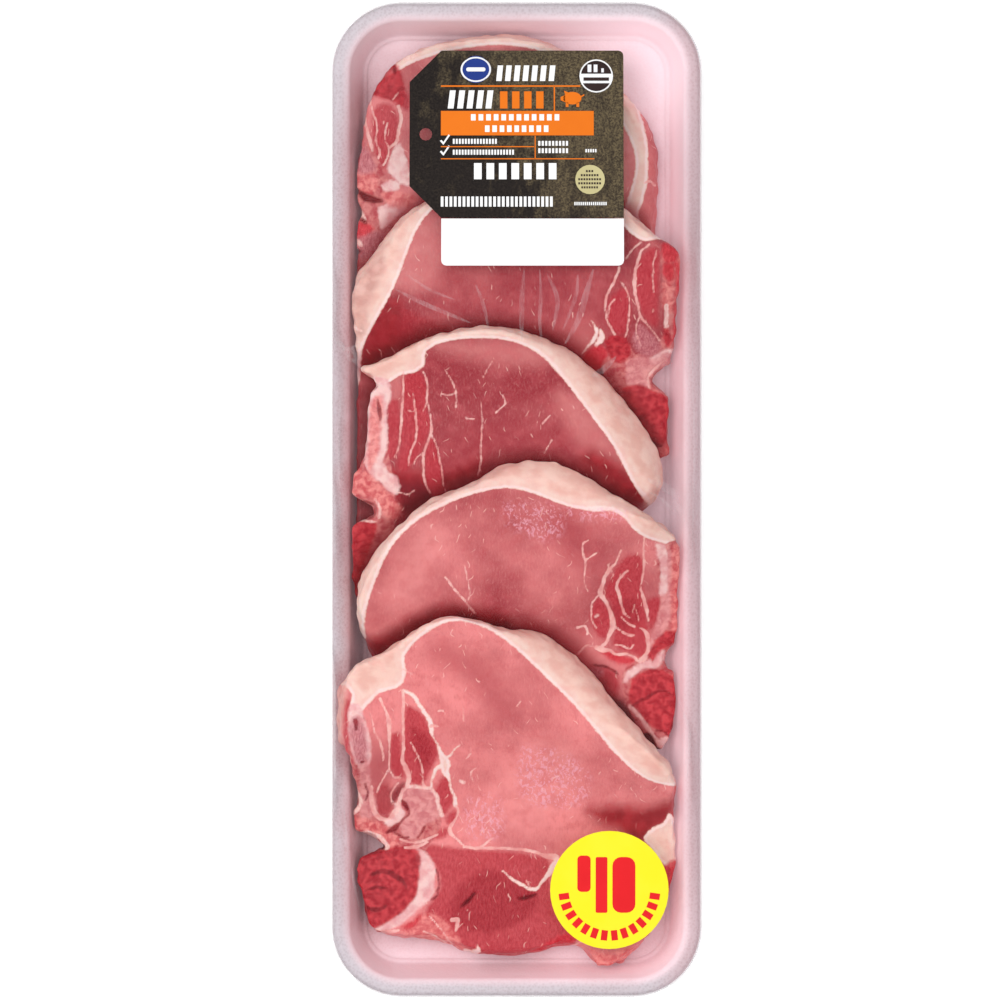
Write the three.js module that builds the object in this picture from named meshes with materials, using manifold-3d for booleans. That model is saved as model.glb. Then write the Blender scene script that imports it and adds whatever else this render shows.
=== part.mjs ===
// A meat tray pack: five bone-in pork loin chops laid like shingles in a long foam tray, under clear
// stretch film that carries a tag-shaped card label and a round sticker.
//
// Units are millimetres. X runs across the tray, Y along it towards the label, and Z up. The origin
// is the middle of the tray's underside.

import * as THREE from "three";
import { mergeVertices } from "three/addons/utils/BufferGeometryUtils.js";
import Module from "manifold-3d";

const wasm = await Module();
wasm.setup();

// ---- Driving dimensions ----

const PACK = { width: 146, length: 392 };
const FILM = { thickness: 0.3, gap: 0.25, overMeat: 1.2, tuckInset: 9.2, tuckHeight: 1.8 };
const SKIN = FILM.thickness + FILM.gap; // from the tray's rim to the film's outer face
const TRAY = {
  width: PACK.width - 2 * SKIN,
  length: PACK.length - 2 * SKIN,
  height: 27,
  floor: 5,
  cornerRadius: 27,
  leastRadius: 9,
  cornerSteps: 9,
};
const CHOP = {
  thickness: 14,
  lip: 3.5, // height of the upright part of its cut edge
  crown: 1.2, // how much its middle bulges
  undercut: 1,
  gap: 1.5, // to what it lies on
  margin: 6, // how far past its outline it still holds up the next chop
  sag: 0.08, // how far it droops below its own mean height in one grid step
};
const PART_GAP = 0.3; // between lean, fat and bone
const CARD = { thickness: 0.5, gap: 0.35, ink: 0.12, inkGap: 0.1 };

// Mesh steps.
const OUTLINE_STEP = 5.6;
const CHOP_STEP = 14;
const FILM_STEP = 14;
const CARD_STEP = 14;
const GRID_STEP = 4;

// Profile of the tray wall, from the recess under the floor round the rim to the inner floor: each
// point is [distance in from the rim's outer edge, height].
const TRAY_PROFILE = [
  [24, 1.2],
  [22, 0],
  [13.5, 0],
  [10.5, 1.5],
  [4.6, TRAY.height - 6],
  [0.8, TRAY.height - 5.4],
  [0, TRAY.height - 3],
  [0.8, TRAY.height - 0.8],
  [2.8, TRAY.height],
  [5.2, TRAY.height - 0.4],
  [6.8, TRAY.height - 2],
  [7.8, TRAY.height - 6],
  [11, TRAY.floor + 4],
  [13, TRAY.floor + 1.2],
  [17, TRAY.floor],
];
const RIM_INNER = 6.8;
const RIM_CREST = 8; // the profile's point on top of the rim

// The chops, in the order in which they are laid. Each outline is a closed curve about the chop's
// own centre, and its third number is how far the cut edge slopes in there. capEdge is the line
// between the fat cap and the lean, from left to right, and bone is the closed edge of the
// split backbone, with the notch of the spinal canal in the outline.
const CHOPS = [
  {
    centre: [-4.5, 126],
    prop: { from: 20, to: 58, rise: 5 }, // its fat edge leans on the tray's end wall
    outline: [
      [-41.5, 48, 1.5], [12, 56.5, 3], [58, 21.5, 4], [60, -14, 4], [55.5, -43.5, 3],
      [41.5, -55.5, 3], [-2, -56, 3], [-25.5, -57, 3], [-53, -49.5, 1.5], [-62.5, -45, 1],
      [-60.5, -17, 1], [-56.5, -15, 1], [-61, -5.5, 1], [-56.5, 17.5, 1], [-55, 28, 1],
    ],
    capEdge: [
      [-47.5, 40], [-31.5, 48], [0, 53], [21.5, 47], [51, 11.5], [43.5, -24], [41.5, -70],
    ],
    bone: [
      [-55, 15.5], [-60, 5.5], [-67, -6], [-67, -46.5], [-57, -50], [-42, -22],
    ],
  },
  {
    centre: [-0.5, 66.5],
    outline: [
      [-65, 18, 3], [-55, 31.5, 4], [-44.5, 45.5, 2.5], [-8, 61, 2.5], [37.5, 52, 2.5],
      [56, 37, 2], [63.5, 33.5, 1.5], [67, 27, 1.5], [65, 14, 1.5], [62.5, -11, 1.5],
      [54, -18, 1], [53.5, -22, 1], [58.5, -23, 1], [61.5, -27.5, 1], [60, -39, 1],
      [61, -49.5, 1], [-14, -47, 3], [-33.5, -51.5, 3], [-53, -76.5, 3], [-68, -77.5, 1.5],
      [-66.5, -63, 2], [-66.5, -47, 2], [-63, -19.5, 2],
    ],
    capEdge: [
      [-64.5, -35], [-60.5, -16.5], [-60.5, -8.5], [-47.5, 17], [-33.5, 46.5], [-8, 55.5],
      [35.5, 46.5], [49, 35], [55, 35.5], [72.5, 33.5],
    ],
    bone: [
      [58.5, 33.5], [69.5, 31.5], [69.5, -55], [49, -55], [33.5, -25.5], [35, -16.5],
      [33.5, -7.5], [44.5, -4.5], [47.5, -10], [58, -3.5],
    ],
  },
  {
    centre: [-4.5, 15.5],
    outline: [
      [-56.5, 36.5, 1.5], [-50, 38.5, 1.5], [-29.5, 48.5, 2], [-2, 53, 3.5], [27.5, 42.5, 8],
      [59.5, 5.5, 12.5], [61.5, -12, 4], [43.5, -29.5, 3], [33.5, -41.5, 3], [17.5, -50.5, 3],
      [-25.5, -56, 3], [-60.5, -55, 1], [-60.5, -25, 1], [-51, -22, 1], [-50, -18.5, 1],
      [-60.5, -14.5, 1], [-59.5, -4, 1], [-57, 27, 1],
    ],
    capEdge: [
      [-57, 35], [-53, 35], [-51, 30], [-46, 29], [-44, 32.5], [-32, 35.5], [-30.5, 43.5],
      [-4, 47.5], [12, 42], [39.5, 9.5], [57, -18], [73, -23.5],
    ],
    bone: [
      [-49, 30], [-52.5, 27], [-56.5, -4], [-65, -7], [-67, -55], [-51, -60], [-43.5, -12],
      [-47, 8],
    ],
  },
  {
    centre: [1.5, -39.5],
    outline: [
      [-65, -1, 2.5], [-60, 15.5, 4.5], [-38.5, 38.5, 4], [-18, 47, 3], [-10, 53, 5.5],
      [11, 55, 10], [31.5, 45.5, 8], [51, 33.5, 3], [63.5, 21.5, 1.5], [63, 4, 1.5],
      [63, -16, 1], [55, -23, 1], [61.5, -29, 1], [56, -60, 1], [31.5, -53, 2.5], [-2, -49, 3], [-35.5, -48, 3], [-56, -27.5, 3],
    ],
    capEdge: [
      [-71, -18], [-61, -16], [-61, -6], [-46, 26.5], [-7, 44], [21.5, 36], [38.5, 34],
      [47, 25.5], [70.5, 19.5],
    ],
    bone: [
      [58, 23], [67.5, 21.5], [64.5, -60], [56, -63], [40, -29.5], [52, -19], [55, 8],
      [53.5, 15.5],
    ],
  },
  {
    centre: [-4.5, -114.5],
    lap: { from: 10, to: 50 }, // here its thin edge lies over the tray's rim
    outline: [
      [-63, 46.5, 1.5], [-48.5, 54.5, 1.5], [-23, 69, 1.5], [1, 64, 2.5], [12, 63.5, 6.5],
      [33.5, 48, 8], [42, 36.5, 6.5], [67.5, 6, 3], [67, -6, 2], [68.5, -28, 2], [61, -52, 2],
      [46, -69, 2.5], [36.5, -71.5, 2.5], [28, -61, 2], [12, -65.5, 3], [-14, -65.5, 3],
      [-25.5, -60.5, 3], [-53, -56, 1.5], [-55.5, -48, 1.5], [-60, -28, 1], [-47.5, -23, 1],
      [-55, -17, 1], [-62, -17, 2], [-63, 13, 4], [-67, 19, 6],
    ],
    capEdge: [
      [-73, 39.5], [-64, 42.5], [-55, 31.5], [-51.5, 37], [-46, 40.5], [-41.5, 39.5],
      [-38.5, 49], [-39.5, 53.5], [-23, 66.5], [-6.5, 63.5], [23, 38], [54, 5.5], [76.5, 0],
    ],
    bone: [
      [-58.5, 33], [-61.5, 19], [-58.5, -8.5], [-65, -11], [-61, -57], [-53, -59], [-28, -37],
      [-32, -23], [-26.5, -18], [-27, -2], [-40, -0.5], [-47.5, -11], [-52.5, -8.5],
      [-55, 29.5],
    ],
  },
];

// The card label is a tag with two cut corners and a punched hole over a plain white panel.
const LABEL = {
  centre: [0, 134],
  width: 84,
  tagLength: 66.5,
  panelLength: 18.5,
  cut: 12.5,
  corner: 2,
  hole: { x: -35.6, y: 9.3, radius: 2.5 },
  band: { x: 0.3, y: 13.7, width: 60, length: 9.7 },
  badges: [
    { name: "label_badge_blue", x: -16, y: 35, radius: 5.4, colour: "blue" },
    { name: "label_badge_white", x: 31.3, y: 32.4, radius: 6.6, colour: "paper" },
    { name: "label_badge_cream", x: 28.8, y: -8.6, radius: 5.8, colour: "cream" },
  ],
};
const STICKER = { centre: [36.5, -153.5], radius: 23.3 };

// ---- Materials ----

const matte = (color, roughness, more = {}) =>
  new THREE.MeshStandardMaterial({ color, roughness, metalness: 0, ...more });
const MATERIALS = {
  foam: matte("#efe9ec", 0.75),
  lean: matte("#cf6f70", 0.45),
  fat: matte("#f1cfc0", 0.5),
  bone: matte("#c8666c", 0.55),
  film: matte("#ffffff", 0.08, { transparent: true, opacity: 0.12 }),
  card: matte("#453a33", 0.55),
  paper: matte("#fbfbf8", 0.5),
  orange: matte("#f58220", 0.5),
  blue: matte("#253e8a", 0.45),
  cream: matte("#d9cf9c", 0.5),
  yellow: matte("#fcee21", 0.4),
};

// ---- Plan geometry ----

// Points of the tray's rounded rectangle, moved in by inset, anticlockwise.
function trayRing(inset, sideStep = Infinity) {
  const halfX = TRAY.width / 2 - inset;
  const halfY = TRAY.length / 2 - inset;
  const radius = Math.max(TRAY.cornerRadius - inset, TRAY.leastRadius);
  const points = [];
  for (let quarter = 0; quarter < 4; quarter++) {
    const centre = new THREE.Vector2(
      (quarter === 0 || quarter === 3 ? 1 : -1) * (halfX - radius),
      (quarter < 2 ? 1 : -1) * (halfY - radius),
    );
    for (let i = 0; i <= TRAY.cornerSteps; i++) {
      const angle = (Math.PI / 2) * (quarter + i / TRAY.cornerSteps);
      const offset = new THREE.Vector2(Math.cos(angle), Math.sin(angle));
      points.push(offset.multiplyScalar(radius).add(centre));
    }
    const side = quarter % 2 ? 2 * (halfY - radius) : 2 * (halfX - radius);
    const pieces = Math.max(1, Math.round(side / sideStep));
    const along = new THREE.Vector2(
      -Math.sin((Math.PI / 2) * (quarter + 1)),
      Math.cos((Math.PI / 2) * (quarter + 1)),
    );
    const last = points.at(-1);
    for (let i = 1; i < pieces; i++)
      points.push(along.clone().multiplyScalar((side * i) / pieces).add(last));
  }
  return points;
}

// How far a point lies in from the tray's outer edge, and the direction further in.
function fromTrayEdge(x, y) {
  const cornerX = TRAY.width / 2 - TRAY.cornerRadius;
  const cornerY = TRAY.length / 2 - TRAY.cornerRadius;
  const dx = Math.abs(x) - cornerX;
  const dy = Math.abs(y) - cornerY;
  let inX = dx > dy ? 1 : 0;
  let inY = 1 - inX;
  let inset = TRAY.cornerRadius - Math.max(dx, dy);
  if (dx > 0 && dy > 0) {
    const length = Math.hypot(dx, dy);
    inset = TRAY.cornerRadius - length;
    inX = dx / length;
    inY = dy / length;
  }
  return { inset, inX: -Math.sign(x) * inX, inY: -Math.sign(y) * inY };
}

// The inset of the tray's inner wall at a height.
function wallInset(z) {
  const inner = TRAY_PROFILE.slice(RIM_CREST);
  if (z >= inner[0][1]) return inner[0][0];
  for (let i = 1; i < inner.length; i++) {
    const [highInset, high] = inner[i - 1];
    const [lowInset, low] = inner[i];
    if (z >= low) return lowInset + ((highInset - lowInset) * (z - low)) / (high - low);
  }
  return inner.at(-1)[0];
}

function insideLoop(x, y, loop) {
  let inside = false;
  for (let i = 0, j = loop.length - 1; i < loop.length; j = i++) {
    const a = loop[i];
    const b = loop[j];
    if (a.y > y !== b.y > y && x < ((b.x - a.x) * (y - a.y)) / (b.y - a.y) + a.x)
      inside = !inside;
  }
  return inside;
}

// Signed distance in from a loop's nearest side, and that side's own z.
function depthInside(x, y, loop) {
  let nearest = Infinity;
  let z = 0;
  for (let i = 0, j = loop.length - 1; i < loop.length; j = i++) {
    const a = loop[j];
    const b = loop[i];
    const length2 = (b.x - a.x) ** 2 + (b.y - a.y) ** 2;
    const along = ((x - a.x) * (b.x - a.x) + (y - a.y) * (b.y - a.y)) / length2;
    const t = THREE.MathUtils.clamp(along, 0, 1);
    const distance = Math.hypot(x - a.x - t * (b.x - a.x), y - a.y - t * (b.y - a.y));
    if (distance < nearest) {
      nearest = distance;
      z = THREE.MathUtils.lerp(a.z ?? 0, b.z ?? 0, t);
    }
  }
  return { depth: insideLoop(x, y, loop) ? nearest : -nearest, z };
}

// Evenly spaced points along a smooth curve through hand-placed ones.
function smooth(points, closed, step = OUTLINE_STEP) {
  const through = points.map(([x, y, z = 0]) => new THREE.Vector3(x, y, z));
  const curve = new THREE.CatmullRomCurve3(through, closed, "centripetal");
  const spaced = curve.getSpacedPoints(Math.round(curve.getLength() / step));
  if (closed) spaced.pop();
  if (closed && THREE.ShapeUtils.area(spaced) < 0) spaced.reverse();
  return spaced;
}

// The loop moved out by a distance along its own normals.
function grown(loop, distance) {
  return loop.map((point, i) => {
    const before = loop.at(i - 1);
    const after = loop[(i + 1) % loop.length];
    const normal = new THREE.Vector2(after.y - before.y, before.x - after.x).normalize();
    return new THREE.Vector2(point.x + normal.x * distance, point.y + normal.y * distance);
  });
}

// A triangular lattice of points inside a loop, no nearer its edge than half a step. A small shift
// keeps the points off each other's rows.
function latticeInside(loop, step) {
  const box = new THREE.Box2().setFromPoints(loop);
  const points = [];
  const rowHeight = (step * Math.sqrt(3)) / 2;
  for (let row = 1, y = box.min.y + rowHeight / 2; y < box.max.y; row++, y += rowHeight)
    for (let x = box.min.x + (step * (1 + (row % 2))) / 2; x < box.max.x; x += step) {
      const shifted = new THREE.Vector2(
        x + 0.04 * step * Math.sin(7 * y + x),
        y + 0.04 * step * Math.sin(5 * x - y),
      );
      if (depthInside(shifted.x, shifted.y, loop).depth > step / 2) points.push(shifted);
    }
  return points;
}

// ---- Triangulation ----

const turn = (a, b, c) => (b.x - a.x) * (c.y - a.y) - (b.y - a.y) * (c.x - a.x);

// Whether a point lies inside the circle through an anticlockwise triangle's corners.
function inCircle(corners, point) {
  const [a, b, c] = corners.map((corner) => corner.clone().sub(point));
  const determinant =
    a.lengthSq() * b.cross(c) - b.lengthSq() * a.cross(c) + c.lengthSq() * a.cross(b);
  return determinant > 1e-7;
}

// Swaps the shared edges of neighbours until every triangle is as near equal-sided as it can be.
function makeDelaunay(points, triangles) {
  for (let changed = true, pass = 0; changed && pass < 200; pass++) {
    changed = false;
    const edges = new Map();
    const used = new Set();
    triangles.forEach((triangle, index) =>
      triangle.forEach((from, k) => edges.set(from + "," + triangle[(k + 1) % 3], [index, k])),
    );
    for (const [key, [index, k]] of edges) {
      const [from, to] = key.split(",").map(Number);
      const other = edges.get(to + "," + from);
      if (!other || from > to || used.has(index) || used.has(other[0])) continue;
      const near = triangles[index][(k + 2) % 3];
      const far = triangles[other[0]][(other[1] + 2) % 3];
      const [pa, pb, pn, pf] = [points[from], points[to], points[near], points[far]];
      if (!inCircle([pa, pb, pn], pf)) continue;
      if (turn(pn, pa, pf) <= 0 || turn(pf, pb, pn) <= 0) continue;
      triangles[index] = [near, from, far];
      triangles[other[0]] = [far, to, near];
      used.add(index).add(other[0]);
      changed = true;
    }
  }
  return triangles;
}

// Triangles of the region in a closed anticlockwise loop, through extra points inside it.
function triangulate(loop, inner = []) {
  const points = [...loop, ...inner].map(({ x, y }) => new THREE.Vector2(x, y));
  const triangles = THREE.ShapeUtils.triangulateShape([...loop], []).map(([a, b, c]) =>
    turn(points[a], points[b], points[c]) > 0 ? [a, b, c] : [a, c, b],
  );
  inner.forEach((point, i) => {
    const added = loop.length + i;
    const at = triangles.findIndex(
      ([a, b, c]) =>
        turn(points[a], points[b], point) > 0 &&
        turn(points[b], points[c], point) > 0 &&
        turn(points[c], points[a], point) > 0,
    );
    if (at < 0) throw new Error("a lattice point lies on an edge");
    const [a, b, c] = triangles[at];
    triangles.splice(at, 1, [a, b, added], [b, c, added], [c, a, added]);
  });
  return makeDelaunay(points, triangles);
}

// ---- Closed meshes ----

function meshGeometry(vertices, triangles) {
  const geometry = new THREE.BufferGeometry().setFromPoints(vertices);
  geometry.setIndex(triangles.flat());
  geometry.computeVertexNormals();
  return geometry;
}

// A closed skin through rings of equal count, with a cap of triangles on the first and the last.
// A cap is { inner: extra vertices, triangles }, numbered with its ring's points first.
function skinOf(rings, firstCap, lastCap) {
  const count = rings[0].length;
  const vertices = rings.flat();
  const triangles = [];
  for (let r = 0; r + 1 < rings.length; r++)
    for (let i = 0; i < count; i++) {
      const next = (i + 1) % count;
      const [a, b] = [r * count + i, r * count + next];
      triangles.push([a, b, b + count], [a, b + count, a + count]);
    }
  const addCap = (cap, ring, turned) => {
    const extra = vertices.length;
    vertices.push(...cap.inner);
    const index = (i) => (i < count ? ring * count + i : extra + i - count);
    for (const [a, b, c] of cap.triangles)
      triangles.push(turned ? [index(a), index(c), index(b)] : [index(a), index(b), index(c)]);
  };
  addCap(firstCap, 0, true);
  addCap(lastCap, rings.length - 1, false);
  return meshGeometry(vertices, triangles);
}

function solidOf(geometry) {
  const bare = geometry.clone();
  bare.deleteAttribute("normal");
  bare.deleteAttribute("uv");
  const merged = mergeVertices(bare, 1e-3);
  return new wasm.Manifold(
    new wasm.Mesh({
      numProp: 3,
      vertProperties: merged.attributes.position.array,
      triVerts: new Uint32Array(merged.index.array),
    }),
  );
}

// The largest body of a solid as a geometry; loose scraps that a cut leaves are dropped.
function geometryOf(solid) {
  const bodies = solid.decompose().sort((a, b) => b.volume() - a.volume());
  const { numProp, vertProperties, triVerts } = bodies[0].getMesh();
  const position = new Float32Array((vertProperties.length / numProp) * 3);
  for (let i = 0; i < position.length / 3; i++)
    position.set(vertProperties.subarray(i * numProp, i * numProp + 3), i * 3);
  const geometry = new THREE.BufferGeometry();
  geometry.setAttribute("position", new THREE.BufferAttribute(position, 3));
  geometry.setIndex(new THREE.BufferAttribute(new Uint32Array(triVerts), 1));
  geometry.computeVertexNormals();
  return geometry;
}

// ---- Heights over the plan ----

// Heights on a square grid over the tray.
class Heights {
  constructor(height) {
    this.columns = Math.ceil(TRAY.width / GRID_STEP) + 3;
    this.rows = Math.ceil(TRAY.length / GRID_STEP) + 3;
    this.left = (-(this.columns - 1) / 2) * GRID_STEP;
    this.front = (-(this.rows - 1) / 2) * GRID_STEP;
    this.values = new Float64Array(this.columns * this.rows);
    this.change((x, y) => height(x, y));
  }

  change(height) {
    for (let row = 0; row < this.rows; row++)
      for (let column = 0; column < this.columns; column++) {
        const index = row * this.columns + column;
        const x = this.left + column * GRID_STEP;
        const y = this.front + row * GRID_STEP;
        this.values[index] = height(x, y, this.values[index]);
      }
    return this;
  }

  at(x, y) {
    const u = THREE.MathUtils.clamp((x - this.left) / GRID_STEP, 0, this.columns - 1.001);
    const v = THREE.MathUtils.clamp((y - this.front) / GRID_STEP, 0, this.rows - 1.001);
    const [column, row] = [Math.floor(u), Math.floor(v)];
    const index = row * this.columns + column;
    const { lerp } = THREE.MathUtils;
    const near = lerp(this.values[index], this.values[index + 1], u - column);
    const above = index + this.columns;
    const far = lerp(this.values[above], this.values[above + 1], u - column);
    return lerp(near, far, v - row);
  }

  // The sheet that lies on these heights: its tension carries it over hollows, and sag is how far
  // its weight pulls each point below its neighbours. Only points where covers is true belong to
  // it, and those where pinned is true keep their height.
  draped(sag, covers, pinned = () => false) {
    const sheet = new Heights(() => 0);
    sheet.values.set(this.values);
    const own = new Heights((x, y) => (covers(x, y) ? 1 : 0)).values;
    const fixed = new Heights((x, y) => (pinned(x, y) ? 1 : 0)).values;
    const steps = [-1, 1, -this.columns, this.columns];
    for (let pass = 0; pass < 400; pass++)
      for (let index = this.columns; index < own.length - this.columns; index++) {
        if (!own[index] || fixed[index]) continue;
        const beside = steps.filter((step) => own[index + step]);
        const sum = beside.reduce((total, step) => total + sheet.values[index + step], 0);
        const level = sum / Math.max(1, beside.length) - sag;
        sheet.values[index] = Math.max(this.values[index], level);
      }
    return sheet;
  }
}

// ---- Chops ----

// A chop's thickness at a depth in from its outline, where its cut edge slopes in by slope.
function thicknessAt(depth, slope) {
  const rise = 1 - (1 - THREE.MathUtils.clamp(depth / Math.max(slope, 0.5), 0, 1)) ** 2;
  const crown = CHOP.crown * (1 - Math.exp(-Math.max(depth, 0) / 14));
  return CHOP.lip + (CHOP.thickness - CHOP.lip) * rise + crown;
}

// Meat never crosses the tray's wall: a point moves in to the wall's inner face. Only the part of
// a chop that laps the rim may lie over it, well above it.
function keptInTray(vertex, chop) {
  const { inset, inX, inY } = fromTrayEdge(vertex.x, vertex.y);
  const y = vertex.y - chop.centre[1];
  const laps = chop.lap && y > chop.lap.from + 6 && y < chop.lap.to - 4;
  const overRim = laps ? THREE.MathUtils.smoothstep(vertex.z, TRAY.height + 1, TRAY.height + 4) : 0;
  const wall = Math.max(wallInset(vertex.z - 0.5), RIM_INNER) + 1.1;
  const least = THREE.MathUtils.lerp(wall, 2.2, overRim);
  if (inset < least) {
    vertex.x += inX * (least - inset);
    vertex.y += inY * (least - inset);
  }
  return vertex;
}

// Lays a chop on what is already in the tray, and returns its solid and the heights with it laid.
function layChop(chop, laid) {
  const [centreX, centreY] = chop.centre;
  const moved = (points) => points.map(([x, y, z]) => [x + centreX, y + centreY, z]);
  const outline = smooth(moved(chop.outline), true);
  const near = (x, y) => depthInside(x, y, outline);

  const support = new Heights((x, y) => {
    const { from = 0, to = 1, rise = 0 } = chop.prop ?? {};
    const propped = rise * THREE.MathUtils.smoothstep(y - centreY, from, to);
    const onRim =
      chop.lap &&
      y - centreY > chop.lap.from &&
      y - centreY < chop.lap.to &&
      fromTrayEdge(x, y).inset < RIM_INNER;
    return Math.max(laid.at(x, y), onRim ? TRAY.height : 0) + CHOP.gap * 0.5 + propped;
  });
  const under = support.draped(CHOP.sag, (x, y) => near(x, y).depth > -GRID_STEP * 1.5);
  const top = (x, y) => {
    const { depth, z: slope } = near(x, y);
    return under.at(x, y) + thicknessAt(depth, slope);
  };

  const ring = (share, height) => {
    const inward = grown(outline, -1);
    return outline.map((point, i) => {
      const reach = typeof share === "number" ? share : share(point.z);
      const x = point.x + (inward[i].x - point.x) * reach;
      const y = point.y + (inward[i].y - point.y) * reach;
      return new THREE.Vector3(x, y, under.at(x, y) + height(reach, point.z));
    });
  };
  const rings = [
    ring(CHOP.undercut, () => 0),
    ring(0, () => CHOP.lip),
    ring((slope) => slope / 2, thicknessAt),
    ring((slope) => slope, thicknessAt),
  ];
  const cap = (edge, height, step) => {
    const inner = latticeInside(edge, step);
    const lifted = inner.map(({ x, y }) => new THREE.Vector3(x, y, height(x, y)));
    return { inner: lifted, triangles: triangulate(edge, inner) };
  };
  const bottom = cap(rings[0], (x, y) => under.at(x, y), CHOP_STEP);
  const face = cap(rings.at(-1), top, CHOP_STEP);
  for (const vertex of [...rings.flat(), ...bottom.inner, ...face.inner]) keptInTray(vertex, chop);
  const solid = solidOf(skinOf(rings, bottom, face));

  const now = new Heights((x, y) => {
    const { depth, z: slope } = near(x, y);
    const covered = depth + CHOP.margin;
    if (covered < 0) return laid.at(x, y);
    return Math.max(laid.at(x, y), under.at(x, y) + thicknessAt(covered, slope) + CHOP.gap * 0.5);
  });
  return { solid, laid: now };
}

// An upright prism of a closed loop, tall enough to cut the whole pack.
function prism(loop) {
  const shape = new THREE.Shape(loop.map(({ x, y }) => new THREE.Vector2(x, y)));
  const geometry = new THREE.ExtrudeGeometry(shape, { depth: 120, bevelEnabled: false });
  return solidOf(geometry.translate(0, 0, -30));
}

// Cuts a chop's solid into its lean, its fat cap and its bone.
function splitChop(chop, solid) {
  const [centreX, centreY] = chop.centre;
  const moved = (points) => points.map(([x, y]) => [x + centreX, y + centreY]);
  const bone = smooth(moved(chop.bone), true);
  const edge = smooth(moved(chop.capEdge), false);
  const [first, last] = [edge[0], edge.at(-1)];
  const far = PACK.width;
  const low = centreY - far;
  const corners = [
    [far, last.y],
    [far, low],
    [-far, low],
    [-far, first.y],
  ];
  const below = [...edge, ...corners.map(([x, y]) => new THREE.Vector2(x, y))].reverse();
  const half = PART_GAP / 2;
  const meat = solid.subtract(prism(grown(bone, half)));
  return {
    lean: meat.intersect(prism(grown(below, -half))),
    fat: meat.subtract(prism(grown(below, half))),
    bone: solid.intersect(prism(grown(bone, -half))),
  };
}

// ---- Assembly ----

const pack = new THREE.Group();

function addMesh(name, geometry, material, parent = pack) {
  const mesh = new THREE.Mesh(geometry, MATERIALS[material]);
  mesh.name = name;
  parent.add(mesh);
  return mesh;
}

function addTray() {
  const rings = TRAY_PROFILE.map(([inset, z]) =>
    trayRing(inset).map(({ x, y }) => new THREE.Vector3(x, y, z)),
  );
  const flat = (ring) => ({ inner: [], triangles: triangulate(ring) });
  addMesh("tray", skinOf(rings, flat(rings[0]), flat(rings.at(-1))), "foam");
}

function addChops() {
  let laid = new Heights(() => TRAY.floor);
  CHOPS.forEach((chop, i) => {
    const { solid, laid: now } = layChop(chop, laid);
    laid = now;
    for (const [part, cut] of Object.entries(splitChop(chop, solid)))
      addMesh(`chop_${i + 1}_${part}`, geometryOf(cut), part);
  });
  return laid;
}

// The film pulled taut over the meat and the rim, then held flat under the label and the sticker.
function stretchFilm(laid) {
  const overTray = (x, y) => fromTrayEdge(x, y).inset > -GRID_STEP;
  const onRim = (x, y) => fromTrayEdge(x, y).inset < RIM_INNER / 2;
  const support = new Heights((x, y) => {
    const { inset } = fromTrayEdge(x, y);
    const rim = inset < RIM_INNER ? TRAY.height + SKIN : 0;
    const meat = inset > 2 ? laid.at(x, y) + FILM.overMeat : 0;
    return Math.max(rim, meat);
  });
  const taut = support.draped(0, overTray, onRim);
  const labelHeight = bentOver(taut, labelZone);
  const stickerHeight = planeOver(taut, stickerZone);
  const held = new Heights((x, y) => {
    if (labelZone(x, y)) return labelHeight(x, y);
    if (stickerZone(x, y)) return stickerHeight(x, y);
    return support.at(x, y);
  });
  const pinned = (x, y) => onRim(x, y) || labelZone(x, y) || stickerZone(x, y);
  return { sheet: held.draped(0, overTray, pinned), labelHeight, stickerHeight };
}

// The parts of the film that its label and its sticker hold, each a mesh step wider than they are.
function labelZone(x, y) {
  const halfLength = (LABEL.tagLength + LABEL.panelLength) / 2;
  const [dx, dy] = [Math.abs(x - LABEL.centre[0]), Math.abs(y - LABEL.centre[1])];
  return dx < LABEL.width / 2 + FILM_STEP && dy < halfLength + FILM_STEP;
}

function stickerZone(x, y) {
  const [dx, dy] = [x - STICKER.centre[0], y - STICKER.centre[1]];
  return Math.hypot(dx, dy) < STICKER.radius + FILM_STEP && fromTrayEdge(x, y).inset > RIM_INNER;
}

// The height of a card that bends along Y only, and arches over a zone of a sheet without a hollow.
function bentOver(sheet, zone) {
  const rows = new Map();
  sheet.change((x, y, z) => {
    if (zone(x, y)) rows.set(y, Math.max(rows.get(y) ?? 0, z));
    return z;
  });
  const [ys, highest] = [[...rows.keys()], [...rows.values()]];
  const arch = [...highest];
  for (let pass = 0; pass < 2000; pass++)
    for (let i = 1; i + 1 < arch.length; i++)
      arch[i] = Math.max(highest[i], (arch[i - 1] + arch[i + 1]) / 2);
  return (x, y) => {
    const u = THREE.MathUtils.clamp((y - ys[0]) / GRID_STEP, 0, ys.length - 1.001);
    const i = Math.floor(u);
    return THREE.MathUtils.lerp(arch[i], arch[i + 1], u - i);
  };
}

// The height of a flat card that has a sheet's own slope in a zone, and clears its highest point.
function planeOver(sheet, zone) {
  const points = [];
  sheet.change((x, y, z) => {
    if (zone(x, y)) points.push([x, y, z]);
    return z;
  });
  const mean = (value) => points.reduce((sum, p) => sum + value(p), 0) / points.length;
  const [mx, my, mz] = [0, 1, 2].map((axis) => mean((p) => p[axis]));
  const slopeX = mean((p) => (p[0] - mx) * (p[2] - mz)) / mean((p) => (p[0] - mx) ** 2);
  const slopeY = mean((p) => (p[1] - my) * (p[2] - mz)) / mean((p) => (p[1] - my) ** 2);
  const lift = Math.max(...points.map(([x, y, z]) => z - slopeX * x - slopeY * y));
  return (x, y) => lift + slopeX * x + slopeY * y;
}

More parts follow.
